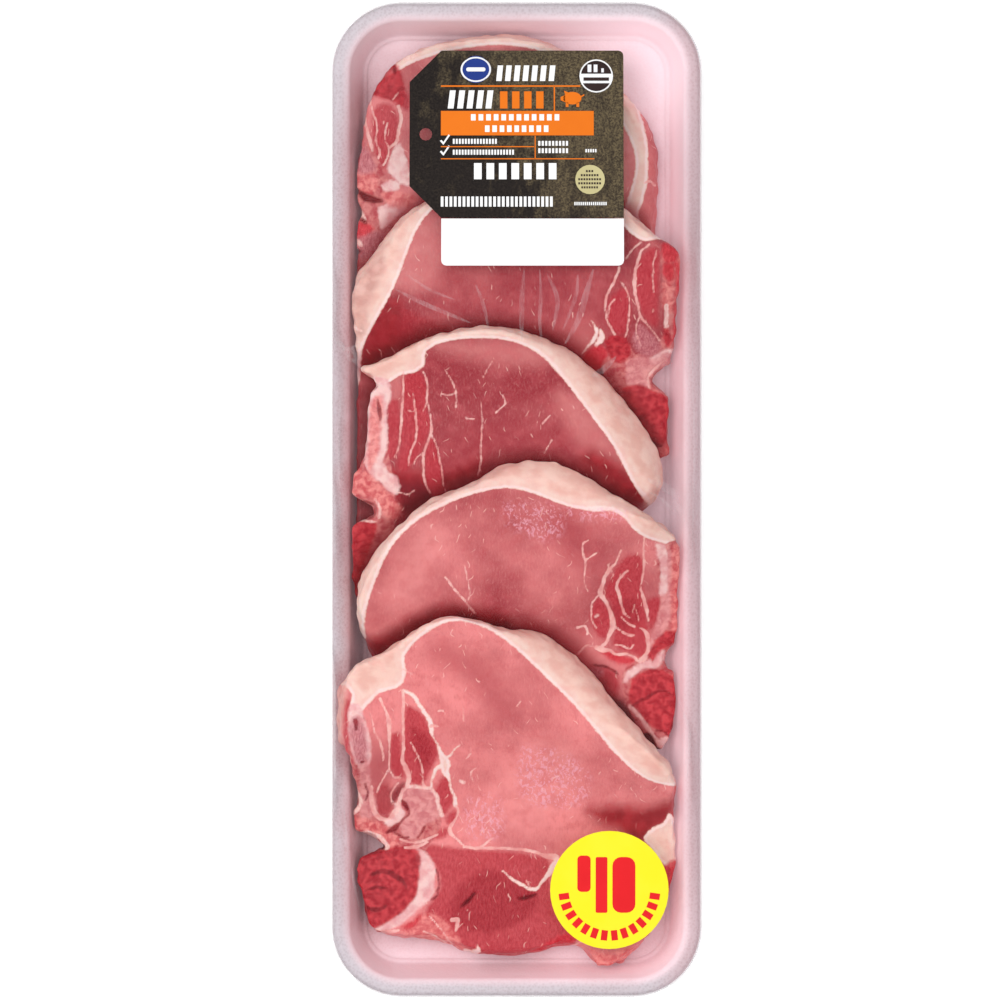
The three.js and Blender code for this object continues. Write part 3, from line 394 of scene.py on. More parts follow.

# ---- Marks in the meat ----


# The marks in each chop besides its lean, fat cap and bone: what a knife and an eye find in it, and
# light and shade painted into its colour, in the kinds light, shade, shadow, dark, gloom, gleam and
# pit. Each is a kind, the half width of its line and its points, each with its own half width where
# it has a third number. A mark with no half width is an area. All are in pixels of the camera's
# frame, which PIXELS turns into millimetres on the pack.
MARKS = {
    1: """
        lean 634,99 646,105 655,115 663,140 666,170 664,200 660,225 652,238 643,224 638,214 642,204
            647,185 649,165 648,145 645,125 641,110
        fat 624,98 634,101 641,110 645,125 648,145 649,165 646,187 640,206 632,216 628,211 634,195 637,175
            637,155 631,135 624,118
        seam 1 645,182 651,181 656,184
        red 392,62 400,70 405,90 402,104 390,100 378,96 371,91 380,78
        blood 1.5 395,66 395,72
        edge 3 402,58 413,55
        deep 374,108 384,103 394,110 397,125 396,140 389,146 387,160 378,170 372,168 376,150 372,130
        deep 398,92 408,95 409,108 400,104
        seam 0.8 371,92,0.5 372,110 377,125 376,140 379,150,1.2 378,158
        seam 0.6 368,100 366,115 367,130,1.2 370,141,1.8 372,150
        seam 0.8 387,122 385,138 388,147 387,156 383,164
        seam 0.8 398,92,0.5 392,100,0.5
        seam 1.5 398,106 401,118 399,131 396,141 389,147,0.7
        pale 392,152 399,143 404,150 409,168 410,183 400,182 390,172 388,166
        deep 398,151 403,153 408,166 406,173 399,164
        mauve 356,146 364,146 372,158 374,168 362,173 354,166
        coral 355,172 371,171 378,182 370,192 358,190 352,182
        blood 2 356,147 357,158,2.6 354,166 352,180,1.4
        pit 2 356,189,1.4 364,196,3 372,199,3 380,200,1.4
        pale 381,185 390,180 399,182 397,189 386,191
        coral 382,193 400,191 418,199 405,206 390,205
        pale 378,208 392,201 406,205 400,212 388,223 380,228
        dark 388,213 399,207 401,213 390,226
        edge 1.8 354,205,1.1 359,211 364,217
        pit 2 361,219,1.6 365,222,1
        bright 347,226 356,222 373,226 367,236 353,238 346,232
        mauve 345,240 360,237 378,232 386,236 380,249 372,256 358,258 350,250
        edge 1.6 350,243 357,240 362,244
        pit 2 346,252,1.2 352,252,2.6 359,251,1
        gloom 344,278 352,266 366,262 367,270 356,280 347,284
        coral 2.4 343,283 344,291
        light 625,105 632,108 633,140 634,165 628,190 624,200
    """,
    2: """
        flap 352,300 362,278 378,258 385,262 379,280 371,300 366,320 362,336 351,336 346,318
        edge 1.2 353,326,0.7 358,329 362,330,0.7
        edge 2.4 351,346 356,352
        shadow 380,306 397,298 404,308 408,330 395,350 375,362 360,360 366,340 374,322
        dark 402,308 430,322 450,330 440,340 420,345 400,350
        light 410,222 438,220 441,262 428,288 400,288 394,282 400,255
        shade 440,275 520,272 600,275 600,330 560,338 500,324 440,322
        seam 1 648,245 641,252 637,262,1.2 634,275,1.5 634,290,1.5 637,305,1.2 641,318 650,328,0.8
            660,341,0.6
        seam 0.8 641,243 632,250 626,259
        seam 1.1 619,268 615,278 609,290 606,302 606,315,0.8 609,325,0.8 614,334
        seam 0.7 614,300 609,306 608,318,0.5
        seam 0.8 621,282 627,293,0.6 629,305,0.5 628,318,0.9 627,330,0.9 625,338,0.5
        seam 0.6 640,318 636,327 637,337 641,346
        seam 0.5 656,250 653,270 654,292
        deep 608,305 614,295 624,290 629,305 627,325 622,335 613,330 608,320
        deep 639,262 649,250 658,250 659,270 658,300 656,326 645,318 638,300 635,280
        mauve 640,325 655,338 660,350 648,357 637,350 633,338
        light 575,322 588,323 593,332 590,342 582,350 568,348 563,338
        fat 1.6 592,322,0.6 597,330 594,339,2 589,346,1.4 583,353,0.8
        fat 2.6 600,330,1.4 602,338,3 597,346,1.8
        bright 583,358 591,348 602,347 607,355 599,368 592,374
        gloom 597,376 607,360 617,362 626,370 621,379 604,382
        red 604,341 614,336 626,340 631,352 622,362 610,359
        sponge 626,362 640,357 655,360 668,352 675,362 660,368 651,376 649,388 655,393 640,398 628,386
        pale 650,358 664,351 674,350 674,362 665,366 655,363
        seam 1 664,362 655,369 649,378 650,388
        red 622,388 640,385 655,392 668,398 671,410 668,440 655,446 640,440 628,415
        dark 618,386 634,380 645,395 641,414 628,410
        blood 1.6 642,441,1 652,444,2.4 661,446,1
        coral 2.6 653,391,1.4 662,392,1.8 669,398
        coral 655,448 665,445 671,452 666,461
        bright 663,246 670,243 677,248 677,260 668,264 663,258
        bright 664,265 672,263 674,272 672,281 666,280 663,272
        coral 662,284 672,282 673,300 670,312 663,306
        edge 1.8 666,306 666,327
        red 664,329 669,331 671,342 667,347 664,340
        bright 2.4 677,264 679,280 678,310 675,340,1.6
        coral 3 682,256 683,270
    """,
    3: """
        shadow 592,452 612,462 634,480 647,498 636,502 616,488 596,472 582,460
        shadow 392,470 420,474 445,476 470,466 480,462 470,475 440,487 415,505 398,500
        coral 361,372 370,376 370,390 366,406 364,430 362,460 360,480 353,480 356,440 359,400
        pale 369,385 376,377 388,382 391,395 387,410 388,438 384,456 381,470 372,476 365,462 365,430
            367,405
        coral 373,401 379,396 383,408 381,425 379,446 376,460 371,470 368,456 370,435 371,414
        blood 1.4 378,401,0.8 379,409,2 380,419,1
        light 392,378 401,374 402,388 399,400 392,404
        deep 388,405 399,402 399,440 393,458 386,452 389,430
        seam 0.8 404,372 403,390 402,410,1.1 401,430,1 400,445 395,458,0.5
        seam 0.8 414,394,0.5 415,405 416,420,1 417,430,1 415,442 410,455 408,466,0.4
        seam 0.5 408,411 414,412
        seam 0.9 424,372 427,382 427,392 427,402 430,412 432,422 431,432,1.4 427,442 424,455,1.1 424,470
            425,482 430,493
        seam 0.8 433,436 437,445 439,455 441,468 443,480 446,492,0.5
        seam 0.5 427,403 422,412
        seam 0.5 424,453 418,458 414,465
        seam 0.7 481,402,0.4 482,425 481,445,0.9 481,460,0.9 479,476,0.5
        seam 0.8 446,371,0.5 453,383 457,396 455,408,0.5
        seam 0.6 442,394 449,395 455,394
        seam 0.6 503,395 505,404 496,413
        seam 0.7 550,416 542,424
        seam 0.6 466,418 475,419
        seam 0.5 492,362 487,370 484,378
        seam 0.5 552,440 545,453
        deep 404,380 412,372 422,376 426,390 426,410 430,425 424,445 415,460 405,470 398,465 402,440
            404,410
        deep 428,446 432,438 437,450 440,470 442,496 432,498 427,480 426,460
        pale 372,466 382,461 388,472 397,478 400,489 395,495 387,489 379,481 373,480
        gloom 396,482 406,484 419,482 426,490 431,498 418,506 407,513 401,500
        seam 0.6 399,492 407,494 415,490
        coral 353,480 366,472 376,480 386,491 393,500 401,509 396,518 386,516 379,505 372,497 360,495
            352,498
        edge 1.2 376,500,0.6 380,508 379,517,0.8
        red 349,526 360,521 377,522 372,545 366,560 360,580 352,600 343,600 346,550
        gloom 377,524 386,528 376,546 364,568 368,545
        edge 0.9 349,524 358,520 369,521 377,522,0.5
        shade 452,438 500,424 560,434 605,462 625,500 600,480 560,462 500,462 460,480 436,496
        light 436,344 520,343 545,362 500,362 450,352
        light 560,395 585,405 612,445 628,480 600,470 575,440
        flap 655,484 663,494 657,508 646,506 650,495
    """,
    4: """
        shadow 368,640 395,633 415,620 435,612 455,608 475,611 505,618 505,632 470,622 440,620 415,634
            395,647 380,658 370,658
        fat 2 440,496 460,487 480,481 500,480 520,485 540,493 560,500 585,508,2.6 610,509,1.6
        light 14 400,592 430,540
        shade 14 560,528 592,566
        gleam 506,505 540,505 560,512 558,534 538,538 508,522
        gleam 568,509 600,508 628,512 620,517 575,517
        seam 0.9 445,577 455,590 465,600 475,613
        seam 0.6 465,566 470,590 468,600
        seam 0.8 588,540,0.5 583,544 582,552 585,559,1.1 590,557 597,553
        seam 0.7 585,559 585,570 584,580,0.4 587,591,0.4
        seam 1 621,550,0.7 616,562,0.7 611,568,1.5 604,578,1.5 601,588,2 600,592,2.6 604,600,1.6
            609,608,1.3 612,617,2.6 613,626,2.6 609,635,1.6 607,642,1.6 600,648
        seam 0.8 600,593 596,597 592,605 591,615 593,622 597,628
        deep 595,603 600,598 606,606 610,616 609,628 604,638 597,632 592,622 591,612
        edge 0.9 595,616.5 598,615
        seam 0.5 611,568 613,576
        seam 1.2 627,571,0.9 620,578 617,586,1.5 619,596,1.5 622,606 625,614 629,618,0.7
        seam 0.9 643,538,0.7 644,550 643,560 644,570 642,580 641,590 645,602,1.6 647,612,1.4 648,621,0.6
        seam 0.8 622,617 627,623 634,626
        seam 0.4 634,605 637,614 640,623
        seam 0.9 615,626,0.6 622,631 628,635,1.2 634,635
        seam 0.7 615,646 622,646 629,649 633,645
        seam 1.2 597,648,2.2 604,650,2 611,650 616,654 626,655 633,657 640,662 647,658
        seam 1.6 640,628,0.5 647,634,2.2 648,645 647,655 641,660
        deep 612,577 622,560 632,556 642,560 642,600 647,625 645,654 632,653 614,644 617,625 613,606
            606,592
        dark 619,602 633,600 638,617 630,623 623,612
        dark 613,607 620,613 628,628 619,628 615,618
        deep 649,600 660,598 657,616 650,628
        bright 602,652 612,652 625,657 634,661 628,665 614,662
        pale 655,543 664,545 668,560 668,592 660,594 661,570 657,555
        sponge 668,545 673,560 671,600 670,620 660,640 652,655 650,645 658,620 662,596 667,592
        coral 673,548 683,538 684,565 680,590 682,620 680,638 669,645 673,620 672,590
        red 656,640 668,632 680,636 672,645 660,652 652,662 650,652
        pale 627,672 640,664 652,658 663,649 664,660 655,668 645,669 632,677 625,682
        light 580,656 588,648 597,652 601,660 590,663
        seam 0.7 578,655 582,649 588,645 597,648
        deep 592,667 605,668 616,674 618,690 612,702 603,690 597,678
        blood 1.2 594,664,0.8 606,667 614,671 618,675,0.7
        mauve 590,671 599,668 603,674 596,679
        gloom 606,697 622,701 632,713 640,724 630,722 618,712
        red 632,680 645,672 660,670 672,676 679,690 678,730 674,742 668,735 650,725 640,712 630,700
        blood 1.1 632,707,0.8 640,702 648,697,1.4 656,692 664,691,0.8 673,695,0.5
        blood 1.2 678,676 680,690 678,702
        blood 0.8 656,731 664,732 670,737
        blood 1 673,724 671,730
        edge 1.6 630,706 638,716 648,730 657,742,2 663,750
        pale 656,742 665,738 675,740 672,750 662,755
        pit 639,742 645,735 652,737 656,747 662,753 657,757 648,753 641,748
        shade 560,640 585,652 610,690 600,694 575,668
        seam 1.2 578,628 585,627 588,634
    """,
    5: """
        shadow 590,812 620,808 645,810 672,802 672,817 662,827 653,832 643,843 630,839 618,829 603,822
        fat 353,688 373,688 369,702 362,712 356,706 352,713 351,700
        flap 4 344,684 341,700 338,722 337,746
        deep 3 347,702 348,725 347,752
        pale 352,704 360,704 366,720 370,740 370,760 361,769 354,753 350,735 349,715
        mauve 353,718 359,717 364,730 367,745 367,758 359,763 354,748 352,731
        blood 2.2 356,721 357,728,1.4
        sponge 359,764 368,759 370,775 371,790 375,800 375,815 362,819 361,800 360,780
        blood 1 361,761,0.6 364,761
        blood 1 365,784 368,793 366,800,0.6
        gloom 346,762 352,759 357,770 359,785 354,791 347,788 345,775
        deep 345,793 354,791 358,797 355,810 348,815 343,818 342,805
        edge 1.8 356,792 360,801 358,810 352,815
        fat 2 403,690,1.4 412,694 420,705,1.8 427,716,2.2 431,725,2.6 433,735,1.4 438,745,1.2 442,755,2.8
            445,763,5 446,771,4 449,779,1.6 451,787,1.1 454,797,1.8 455,805,2
        seam 1 455,805 458,812 456,820 451,827,1.5 451,833,1.5 457,840 463,846,1.2
        fat 1.2 444,758,2 450,755,1.2 454,750,0.8 461,743,0.5
        fat 2 446,768,3 438,768 434,774,1.6 432,781,1.1 431,788,0.9
        seam 0.9 431,725,1.6 438,726
        seam 1.3 404,690 404,705,1.5 403,720 403,735 403,750 402,760,1.6 406,768,2.2 409,775,2.2
            408,782,1.8 405,789,1.5
        seam 0.7 411,742,0.5 415,750 420,760 422,770 422,780 424,787,2
        edge 1.3 407,787 416,787 424,788 431,789
        seam 1 381,697 383,704 387,712,1.2 389,722,2 390,732,1.6 389,745,0.8 390,758,0.6 390,768,0.6
            393,776,0.7 399,778
        seam 0.8 370,712,0.5 373,722,0.5 376,732 380,742,1 383,752 383,761,0.5
        seam 0.7 388,770 384,776 380,784 377,791,1
        seam 0.8 398,783 394,788 391,795 392,804
        seam 1.8 372,786,1.1 372,800,2 374,812,2.5 380,819,2 388,820 395,813,2.5 398,805,2.5 401,796,1.5
            404,789,1.5
        dark 376,790 384,784 391,790 391,802 392,812 385,817 378,815 375,805
        gloom 392,793 397,788 404,784 402,791 396,801 392,803
        deep 392,735 400,735 401,760 405,775 400,778 393,772 391,750
        deep 406,705 420,712 430,730 438,752 430,770 421,784 410,782 411,772 404,758 405,730
        dark 412,728 424,735 432,752 424,768 416,750
        deep 441,779 447,778 450,788 453,800 448,810 443,815 439,805 435,793
        shade 371,740 380,745 384,760 388,770 380,782 372,780 370,760
        sponge 402,791 412,788 424,788 432,791 436,798 439,808 441,815 436,820 425,825 415,838 404,836
            400,824 408,816 410,808 405,800 400,799
        edge 1.5 431,789 436,797 439,807 441,816
        blood 1.6 402,800,0.9 405,804,2 407,809,1.4 408,815,0.6 404,820,0.6 400,824,0.7
        blood 1.6 399,825,1 395,829,2.4 387,833,1
        blood 1 394,834 400,836 404,838,1.2 409,837,0.5
        blood 0.9 417,838,0.6 422,831 425,827
        pale 393,803 400,806 404,812 403,818 395,824 388,826 385,821 392,818 396,812
        coral 346,818 360,818 372,822 384,826 391,834 399,841 392,849 384,847 378,838 366,833 347,833
        edge 1.4 347,834 353,833 360,835,1 366,832 374,836,2.6 382,840,2 386,847,3
        seam 1.1 400,840 412,844 420,842 430,838 438,835,0.7
        seam 1.2 405,849 418,848,1.5 428,842,1
        deep 430,833 445,829 448,834 440,838 428,840
        deep 449,813 455,812 456,818 451,824 447,822
        deep 420,851 432,846 450,849 500,852 540,858 549,866 549,890 553,905 562,925 577,940 560,949
            540,954 520,957 480,957 468,950 460,944 440,926 425,916 440,890 438,870 428,858
        dark 462,885 490,872 520,884 535,895 530,915 500,930 470,930 450,912
        seam 1.3 463,847 480,849 500,849 520,850 535,852 545,857,1.8 556,858,3
        seam 0.9 480,849 487,843 494,838,0.5
        fat 1.8 502,872,0.9 512,879,1.5 522,885 530,890 537,889 540,884,1 547,877,2.4 553,867,3 557,860,3
        seam 0.9 527,882 530,888
        pit 1.6 519,900,0.8 527,898 536,896,0.8
        pit 1.4 462,907,0.8 468,901 475,895,0.8
        blood 0.9 431,901 435,898 438,893,0.5
        blood 0.8 436,870 439,884 437,892
        seam 2 452,921 458,921 455,931,1.2
        fat 3 465,952,1.8 472,954,3.6 478,951,2.6 477,945,0.8
        seam 0.9 480,958 505,960 530,958,1.3 545,957 560,952 572,948 581,943
        bright 532,954 550,955 566,948 582,934 570,934 550,943
        coral 398,930 412,925 425,915 440,918 452,930 460,945 461,952 450,951 430,941 410,936
        seam 0.8 430,917 436,925 445,937 452,946
        seam 0.8 424,933 435,938 445,945 456,951,1
        bright 401,927 412,922 421,915 413,929
        red 353,862 360,856 366,851 380,850 395,848 410,848 418,853 420,862 418,880 416,895 408,905
            398,915 385,924 368,929 362,915 358,895 354,875
        blood 2 372,876,1.4 384,872 394,877,2.6 402,882 406,889,1
        blood 2.2 367,909,1.4 376,911 386,907,1.2
        blood 1.4 366,892,0.8 376,888 388,890,0.8
        shade 394,851 410,851 414,866 408,882 398,876 393,862
        pale 414,850 424,852 431,860 435,872 434,885 431,897 420,908 408,918 398,926 385,931 372,931
            385,925 400,915 412,902 417,889 419,874 418,862
        seam 1.6 370,930,1 380,932 392,932 399,931,1
        pit 2.4 366,850,1 372,846,3 382,848,1.4
        light 30 548,770 520,800
        shade 9 440,650 470,668 505,705
        gleam 522,748 560,752 586,775 582,802 545,805 520,790
        gleam 468,800 498,799 500,834 470,834
        fat 669,812 677,826 679,853 677,866 665,866 652,850 644,838 652,829 662,823
        bright 661,869 677,862 677,888 667,892
        coral 592,950 612,955 632,948 634,958 615,968 598,968
        seam 0.6 404,668,0.4 412,674
        seam 0.6 520,700 517,706
        seam 0.7 463,706,0.4 463,715 464,724,0.4
        seam 0.6 438,710 443,710 446,714,0.3
        seam 0.7 471,754 466,759,0.4
        seam 0.7 477,767,0.5 471,773 473,782,0.5
        edge 1 461,782 465,783
    """,
}
PIXELS = {"middle": (516.5, 499.5), "per_mm": 2.54}
FAR = 8.0


def on_pack(x, y):
    """A pixel of the camera's frame as a place in plan, to half a millimetre."""
    x = (x - PIXELS["middle"][0]) / PIXELS["per_mm"]
    y = (PIXELS["middle"][1] - y) / PIXELS["per_mm"]
    return round(x * 2) / 2, round(y * 2) / 2


def width_on_pack(pixels):
    """A width in pixels in millimetres, to a twentieth."""
    return round(pixels / PIXELS["per_mm"] * 20) / 20


def marks_of(number):
    """A chop's marks: the kind of each, whether it is an area, and its curve (x, y, half width)."""
    marks = []
    for word in MARKS[number].split():
        if word.isalpha():
            marks.append({"kind": word, "half_width": 0.0, "points": []})
        elif "," in word:
            marks[-1]["points"].append([float(value) for value in word.split(",")])
        else:
            marks[-1]["half_width"] = width_on_pack(float(word))
    return [(mark["kind"], not mark["half_width"], mark_curve(mark)) for mark in marks]


def mark_curve(mark):
    """A mark's points as a smooth curve in millimetres, closed where it bounds an area."""
    places = []
    for x, y, *own in mark["points"]:
        wide = mark["half_width"]
        if own and wide:
            wide = width_on_pack(own[0])
        places.append((*on_pack(x, y), wide))
    if not mark["half_width"]:
        places.append(places[0])
    return np.array([tuple(p) for p in curve_through(places, steps=3)])


def line_depth(places, curve):
    """How far inside a line of varying half width each place is; less than 0 is outside."""
    depth = np.full(len(places), -FAR)
    for start, end in zip(curve, curve[1:]):
        along = end[:2] - start[:2]
        share = np.clip((places - start[:2]) @ along / max(along @ along, 1e-9), 0, 1)
        gap = np.hypot(*(places - start[:2] - share[:, None] * along).T)
        depth = np.maximum(depth, start[2] + share * (end[2] - start[2]) - gap)
    return depth


def area_depth(places, curve):
    """How far inside a closed curve each place is; less than 0 is outside."""
    inside = np.zeros(len(places), bool)
    for (x0, y0, _), (x1, y1, _) in zip(curve, curve[1:]):
        crossed = (y0 > places[:, 1]) != (y1 > places[:, 1])
        rise = y1 - y0 if y1 != y0 else 1e-9
        inside ^= crossed & (places[:, 0] < x0 + (places[:, 1] - y0) / rise * (x1 - x0))
    gap = -line_depth(places, curve)
    return np.where(inside, gap, -gap)


def depth_in_marks(places, marks, wanted):
    """How far inside the marks of a kind each place is, in millimetres; less than 0 is outside."""
    depth = np.full(len(places), -FAR)
    for kind, area, curve in marks:
        if kind == wanted:
            margin = FAR + curve[:, 2].max()
            low, high = curve[:, :2].min(axis=0) - margin, curve[:, :2].max(axis=0) + margin
            near = np.all((places > low) & (places < high), axis=1)
            measure = area_depth if area else line_depth
            depth[near] = np.maximum(depth[near], measure(places[near], curve))
    return depth

# ---- Chops ----


def swollen(points, faces, amount):
    """Points pushed out from the faces that meet at them."""
    normals = face_normals(points, faces)
    total = np.zeros_like(points)
    for corner in range(3):
        np.add.at(total, faces[:, corner], normals)
    return points + amount * total / np.maximum(np.linalg.norm(total, axis=1), 1e-12)[:, None]


def chop_skin(name, parts):
    """A chop as one mesh, without the flats of its CAD solids but with its cut edges."""
    points, faces = [], []
    for part in parts:
        part_points, part_faces = welded(part)
        faces.append(part_faces + sum(map(len, points)))
        points.append(swollen(part_points, part_faces, CHOP["swell"]))
    mesh = make_mesh(name, np.concatenate(points), np.concatenate(faces))
    mesh = modified(mesh, "REMESH", mode="VOXEL", voxel_size=CHOP["voxel"])
    edges = edges_of(mesh)
    places = smoothed(points_of(mesh), edges, CHOP["first_passes"])
    move_points(mesh, places)
    around = smoothed(normals_of(mesh), edges, CHOP["look_passes"])
    flat = soft_step(np.linalg.norm(around, axis=1), *CHOP["flat"])[:, None]
    move_points(mesh, smoothed(places, edges, CHOP["flat_passes"], flat))
    return mesh, edges


def depths_in_chop(number, places, parts, edges):
    """How deep each place is in the fat cap, the bone and each kind of mark, in millimetres."""
    trees = [tree_of(*welded(part)) for part in parts]
    lean, fat, bone = (distances(tree, places, CHOP["near"]) / MM for tree in trees)
    in_fat, in_bone = lean - fat, np.minimum(lean, fat) - bone
    depths = np.column_stack([in_fat, in_bone])
    cap, bone = smoothed(depths, edges, CHOP["depth_passes"]).T

    wander = chop_waves("wander", number, places) + chop_waves("fine_wander", number, places)
    plan = places[:, :2] / MM + wander[:, :2]
    marks = marks_of(number)
    kinds = ["fat", "lean", "gleam", *UNDER_FAT, *OVER_FAT]
    depths = {kind: depth_in_marks(plan, marks, kind) for kind in kinds}
    cap = np.minimum(np.maximum(cap, depths.pop("fat")), -depths.pop("lean"))
    return {**depths, "cap": cap, "bone": bone}


def chop_waves(name, number, places):
    size, amount, seed = CHOP_WAVES[name]
    return wavering(places, size * MM, amount, number + seed)


def make_chop(number, material):
    """One chop: a skin round its three solids, with its marks as values on its points."""
    name = f"chop_{number}"
    parts = [f"{name}_{part}" for part in ("lean", "fat", "bone")]
    mesh, edges = chop_skin(name, parts)
    places = points_of(mesh)
    depths = depths_in_chop(number, places, parts, edges)

    normals = normals_of(mesh)
    lumps = chop_waves("lumps", number, places)[:, 0]
    lumps *= soft_step(depths["cap"], *CHOP["bumpy_fat"])
    push = CHOP["wobble"] * (lumps + chop_waves("ripple", number, places)[:, 1])
    for kind, (height, low, high) in RELIEF.items():
        push += height * soft_step(depths[kind], low, high)
    side = 1 - np.abs(normals[:, 2])
    push += chop_waves("ragged_edge", number, places)[:, 0] * side
    places = places + normals * push[:, None]
    move_points(mesh, places)
    for kind, depth in depths.items():
        set_values(mesh, kind, np.clip(depth, -FAR, FAR))
    set_values(mesh, "tone", chop_waves("tone", number, places)[:, 0] + LEAN_TONES[number])
    return add_piece(name, mesh, material, parts)


def shade_under(lower, upper):
    """Gives each point of a chop how close it is to the chop that lies on it, from 0 to 1, for the
    painted shade there.
    """
    gap = distances(tree_of_mesh(upper.data), points_of(lower.data), CHOP["shade"])
    set_values(lower.data, "contact_shade", 1 - gap / CHOP["shade"])


# How pale each chop's lean is, from 0 to 1.
LEAN_TONES = {1: 0.58, 2: 0.18, 3: 0.12, 4: 0.5, 5: 0.7}

# The kinds of mark in the meat, from the lowest layer to the highest: the width of its soft edge
# and of its ragged edge in millimetres, its greatest cover, its pattern and that pattern's colours.
# Light and shade lighten and darken the lean, partly its own tone and partly painted light and shade.
# Shadow is painted shadow where chops overlap and where the meat folds. Deep is darker muscle; dark is
# darker muscle and blood, and painted shade under the edge of the chop above. Gloom is painted deep
# shadow in gaps and on shaded sides, over some dark meat.
UNDER_FAT = {
    "light": (6.0, 1.0, 0.5, "patch", (238, 154, 152), (228, 138, 138)),
    "shade": (7.0, 1.0, 0.5, "patch", (166, 56, 66), (182, 78, 84)),
    "shadow": (5.0, 0.8, 0.95, "patch", (138, 16, 28), (164, 34, 44)),
    "deep": (1.6, 0.8, 0.88, "streak", (174, 36, 50), (196, 66, 76)),
    "dark": (2.6, 0.9, 0.8, "streak", (150, 26, 40), (176, 50, 60)),
    "gloom": (2.4, 0.8, 0.9, "streak", (106, 10, 24), (140, 28, 40)),
}
OVER_FAT = {
    "pale": (0.9, 0.9, 0.85, "patch", (230, 168, 170), (248, 218, 214)),
    "sponge": (0.9, 0.8, 0.85, "sponge", (208, 126, 130), (230, 162, 160)),
    "coral": (1.3, 0.9, 0.8, "sponge", (206, 84, 88), (240, 152, 146)),
    "red": (1.1, 0.8, 0.92, "sponge", (158, 16, 34), (202, 52, 63)),
    "bright": (1.3, 0.8, 0.9, "streak", (188, 22, 40), (218, 62, 74)),
    "mauve": (1.6, 0.8, 0.85, "streak", (176, 88, 98), (210, 138, 144)),
    "flap": (2.0, 0.6, 0.7, "patch", (196, 138, 130), (226, 180, 170)),
    "edge": (0.6, 0.7, 0.85, "streak", (236, 184, 178), (250, 222, 214)),
    "seam": (0.3, 0.45, 0.8, "patch", (232, 160, 156), (250, 208, 200)),
    "blood": (0.5, 0.3, 0.85, "sponge", (112, 10, 24), (146, 26, 38)),
    # A pit is a dent, darkened in its hole or gap as painted shade.
    "pit": (0.9, 0.3, 0.94, "sponge", (84, 2, 12), (122, 10, 24)),
}


def layered(look, body, kinds, patterns):
    """Lays kinds of mark over a colour, each with its own pattern and its own edge."""
    for kind, (soft, torn, most, pattern, low, high) in kinds.items():
        colour = look.mix(look.scaled(patterns[pattern], 0.32, 0.68), low, high)
        depth = look.math("MULTIPLY_ADD", patterns["torn"], torn, look.attribute(kind))
        body = look.tint(body, colour, depth, -soft, soft * 0.6, most)
    return body


def lean_colour(look, patterns):
    """Lean: dark or salmon pink by its chop, in broad drifts, with a fine upright grain."""
    drift = look.math("MULTIPLY_ADD", look.noise(16, 2), 0.8, look.attribute("tone"))
    lean = look.mix(look.scaled(drift, 0.4, 1.4), (156, 50, 60), (236, 144, 144))
    lean = look.tint(lean, (196, 90, 96), patterns["patch"], 0.45, 0.72, 0.35)
    lean = look.tint(lean, (234, 156, 154), patterns["streak"], 0.45, 0.75, 0.22)
    return look.tint(lean, (184, 76, 84), patterns["streak"], 0.5, 0.25, 0.25)


def fat_colour(look, patterns):
    """Fat: cream on the cut, a pale line along the lean, and pinker and streaked at its skin."""
    depth = look.math("MULTIPLY_ADD", patterns["torn"], 0.6, look.attribute("cap"))
    cut = look.mix(look.scaled(patterns["patch"], 0.35, 0.7), (240, 211, 200), (236, 194, 184))
    cloud = look.noise(5, 3, 0.5, look.stretched(1.6, 1, 1, 30))
    skin = look.mix(look.scaled(cloud, 0.34, 0.66), (230, 182, 170), (240, 204, 192))
    fat = look.tint(cut, skin, depth, 2.6, 4.6)
    fat = look.tint(fat, (228, 170, 160), patterns["streak"], 0.42, 0.75, 0.1)
    line = look.math("SUBTRACT", look.scaled(depth, 0.1, 0.5), look.scaled(depth, 0.9, 1.7))
    fat = look.mix(look.times(line, 0.6, clamp=True), fat, (250, 230, 230))
    return look.tint(fat, (238, 174, 166), look.noise(8, 4, 0.6, None, 0.6), 0.52, 0.76, 0.34), depth


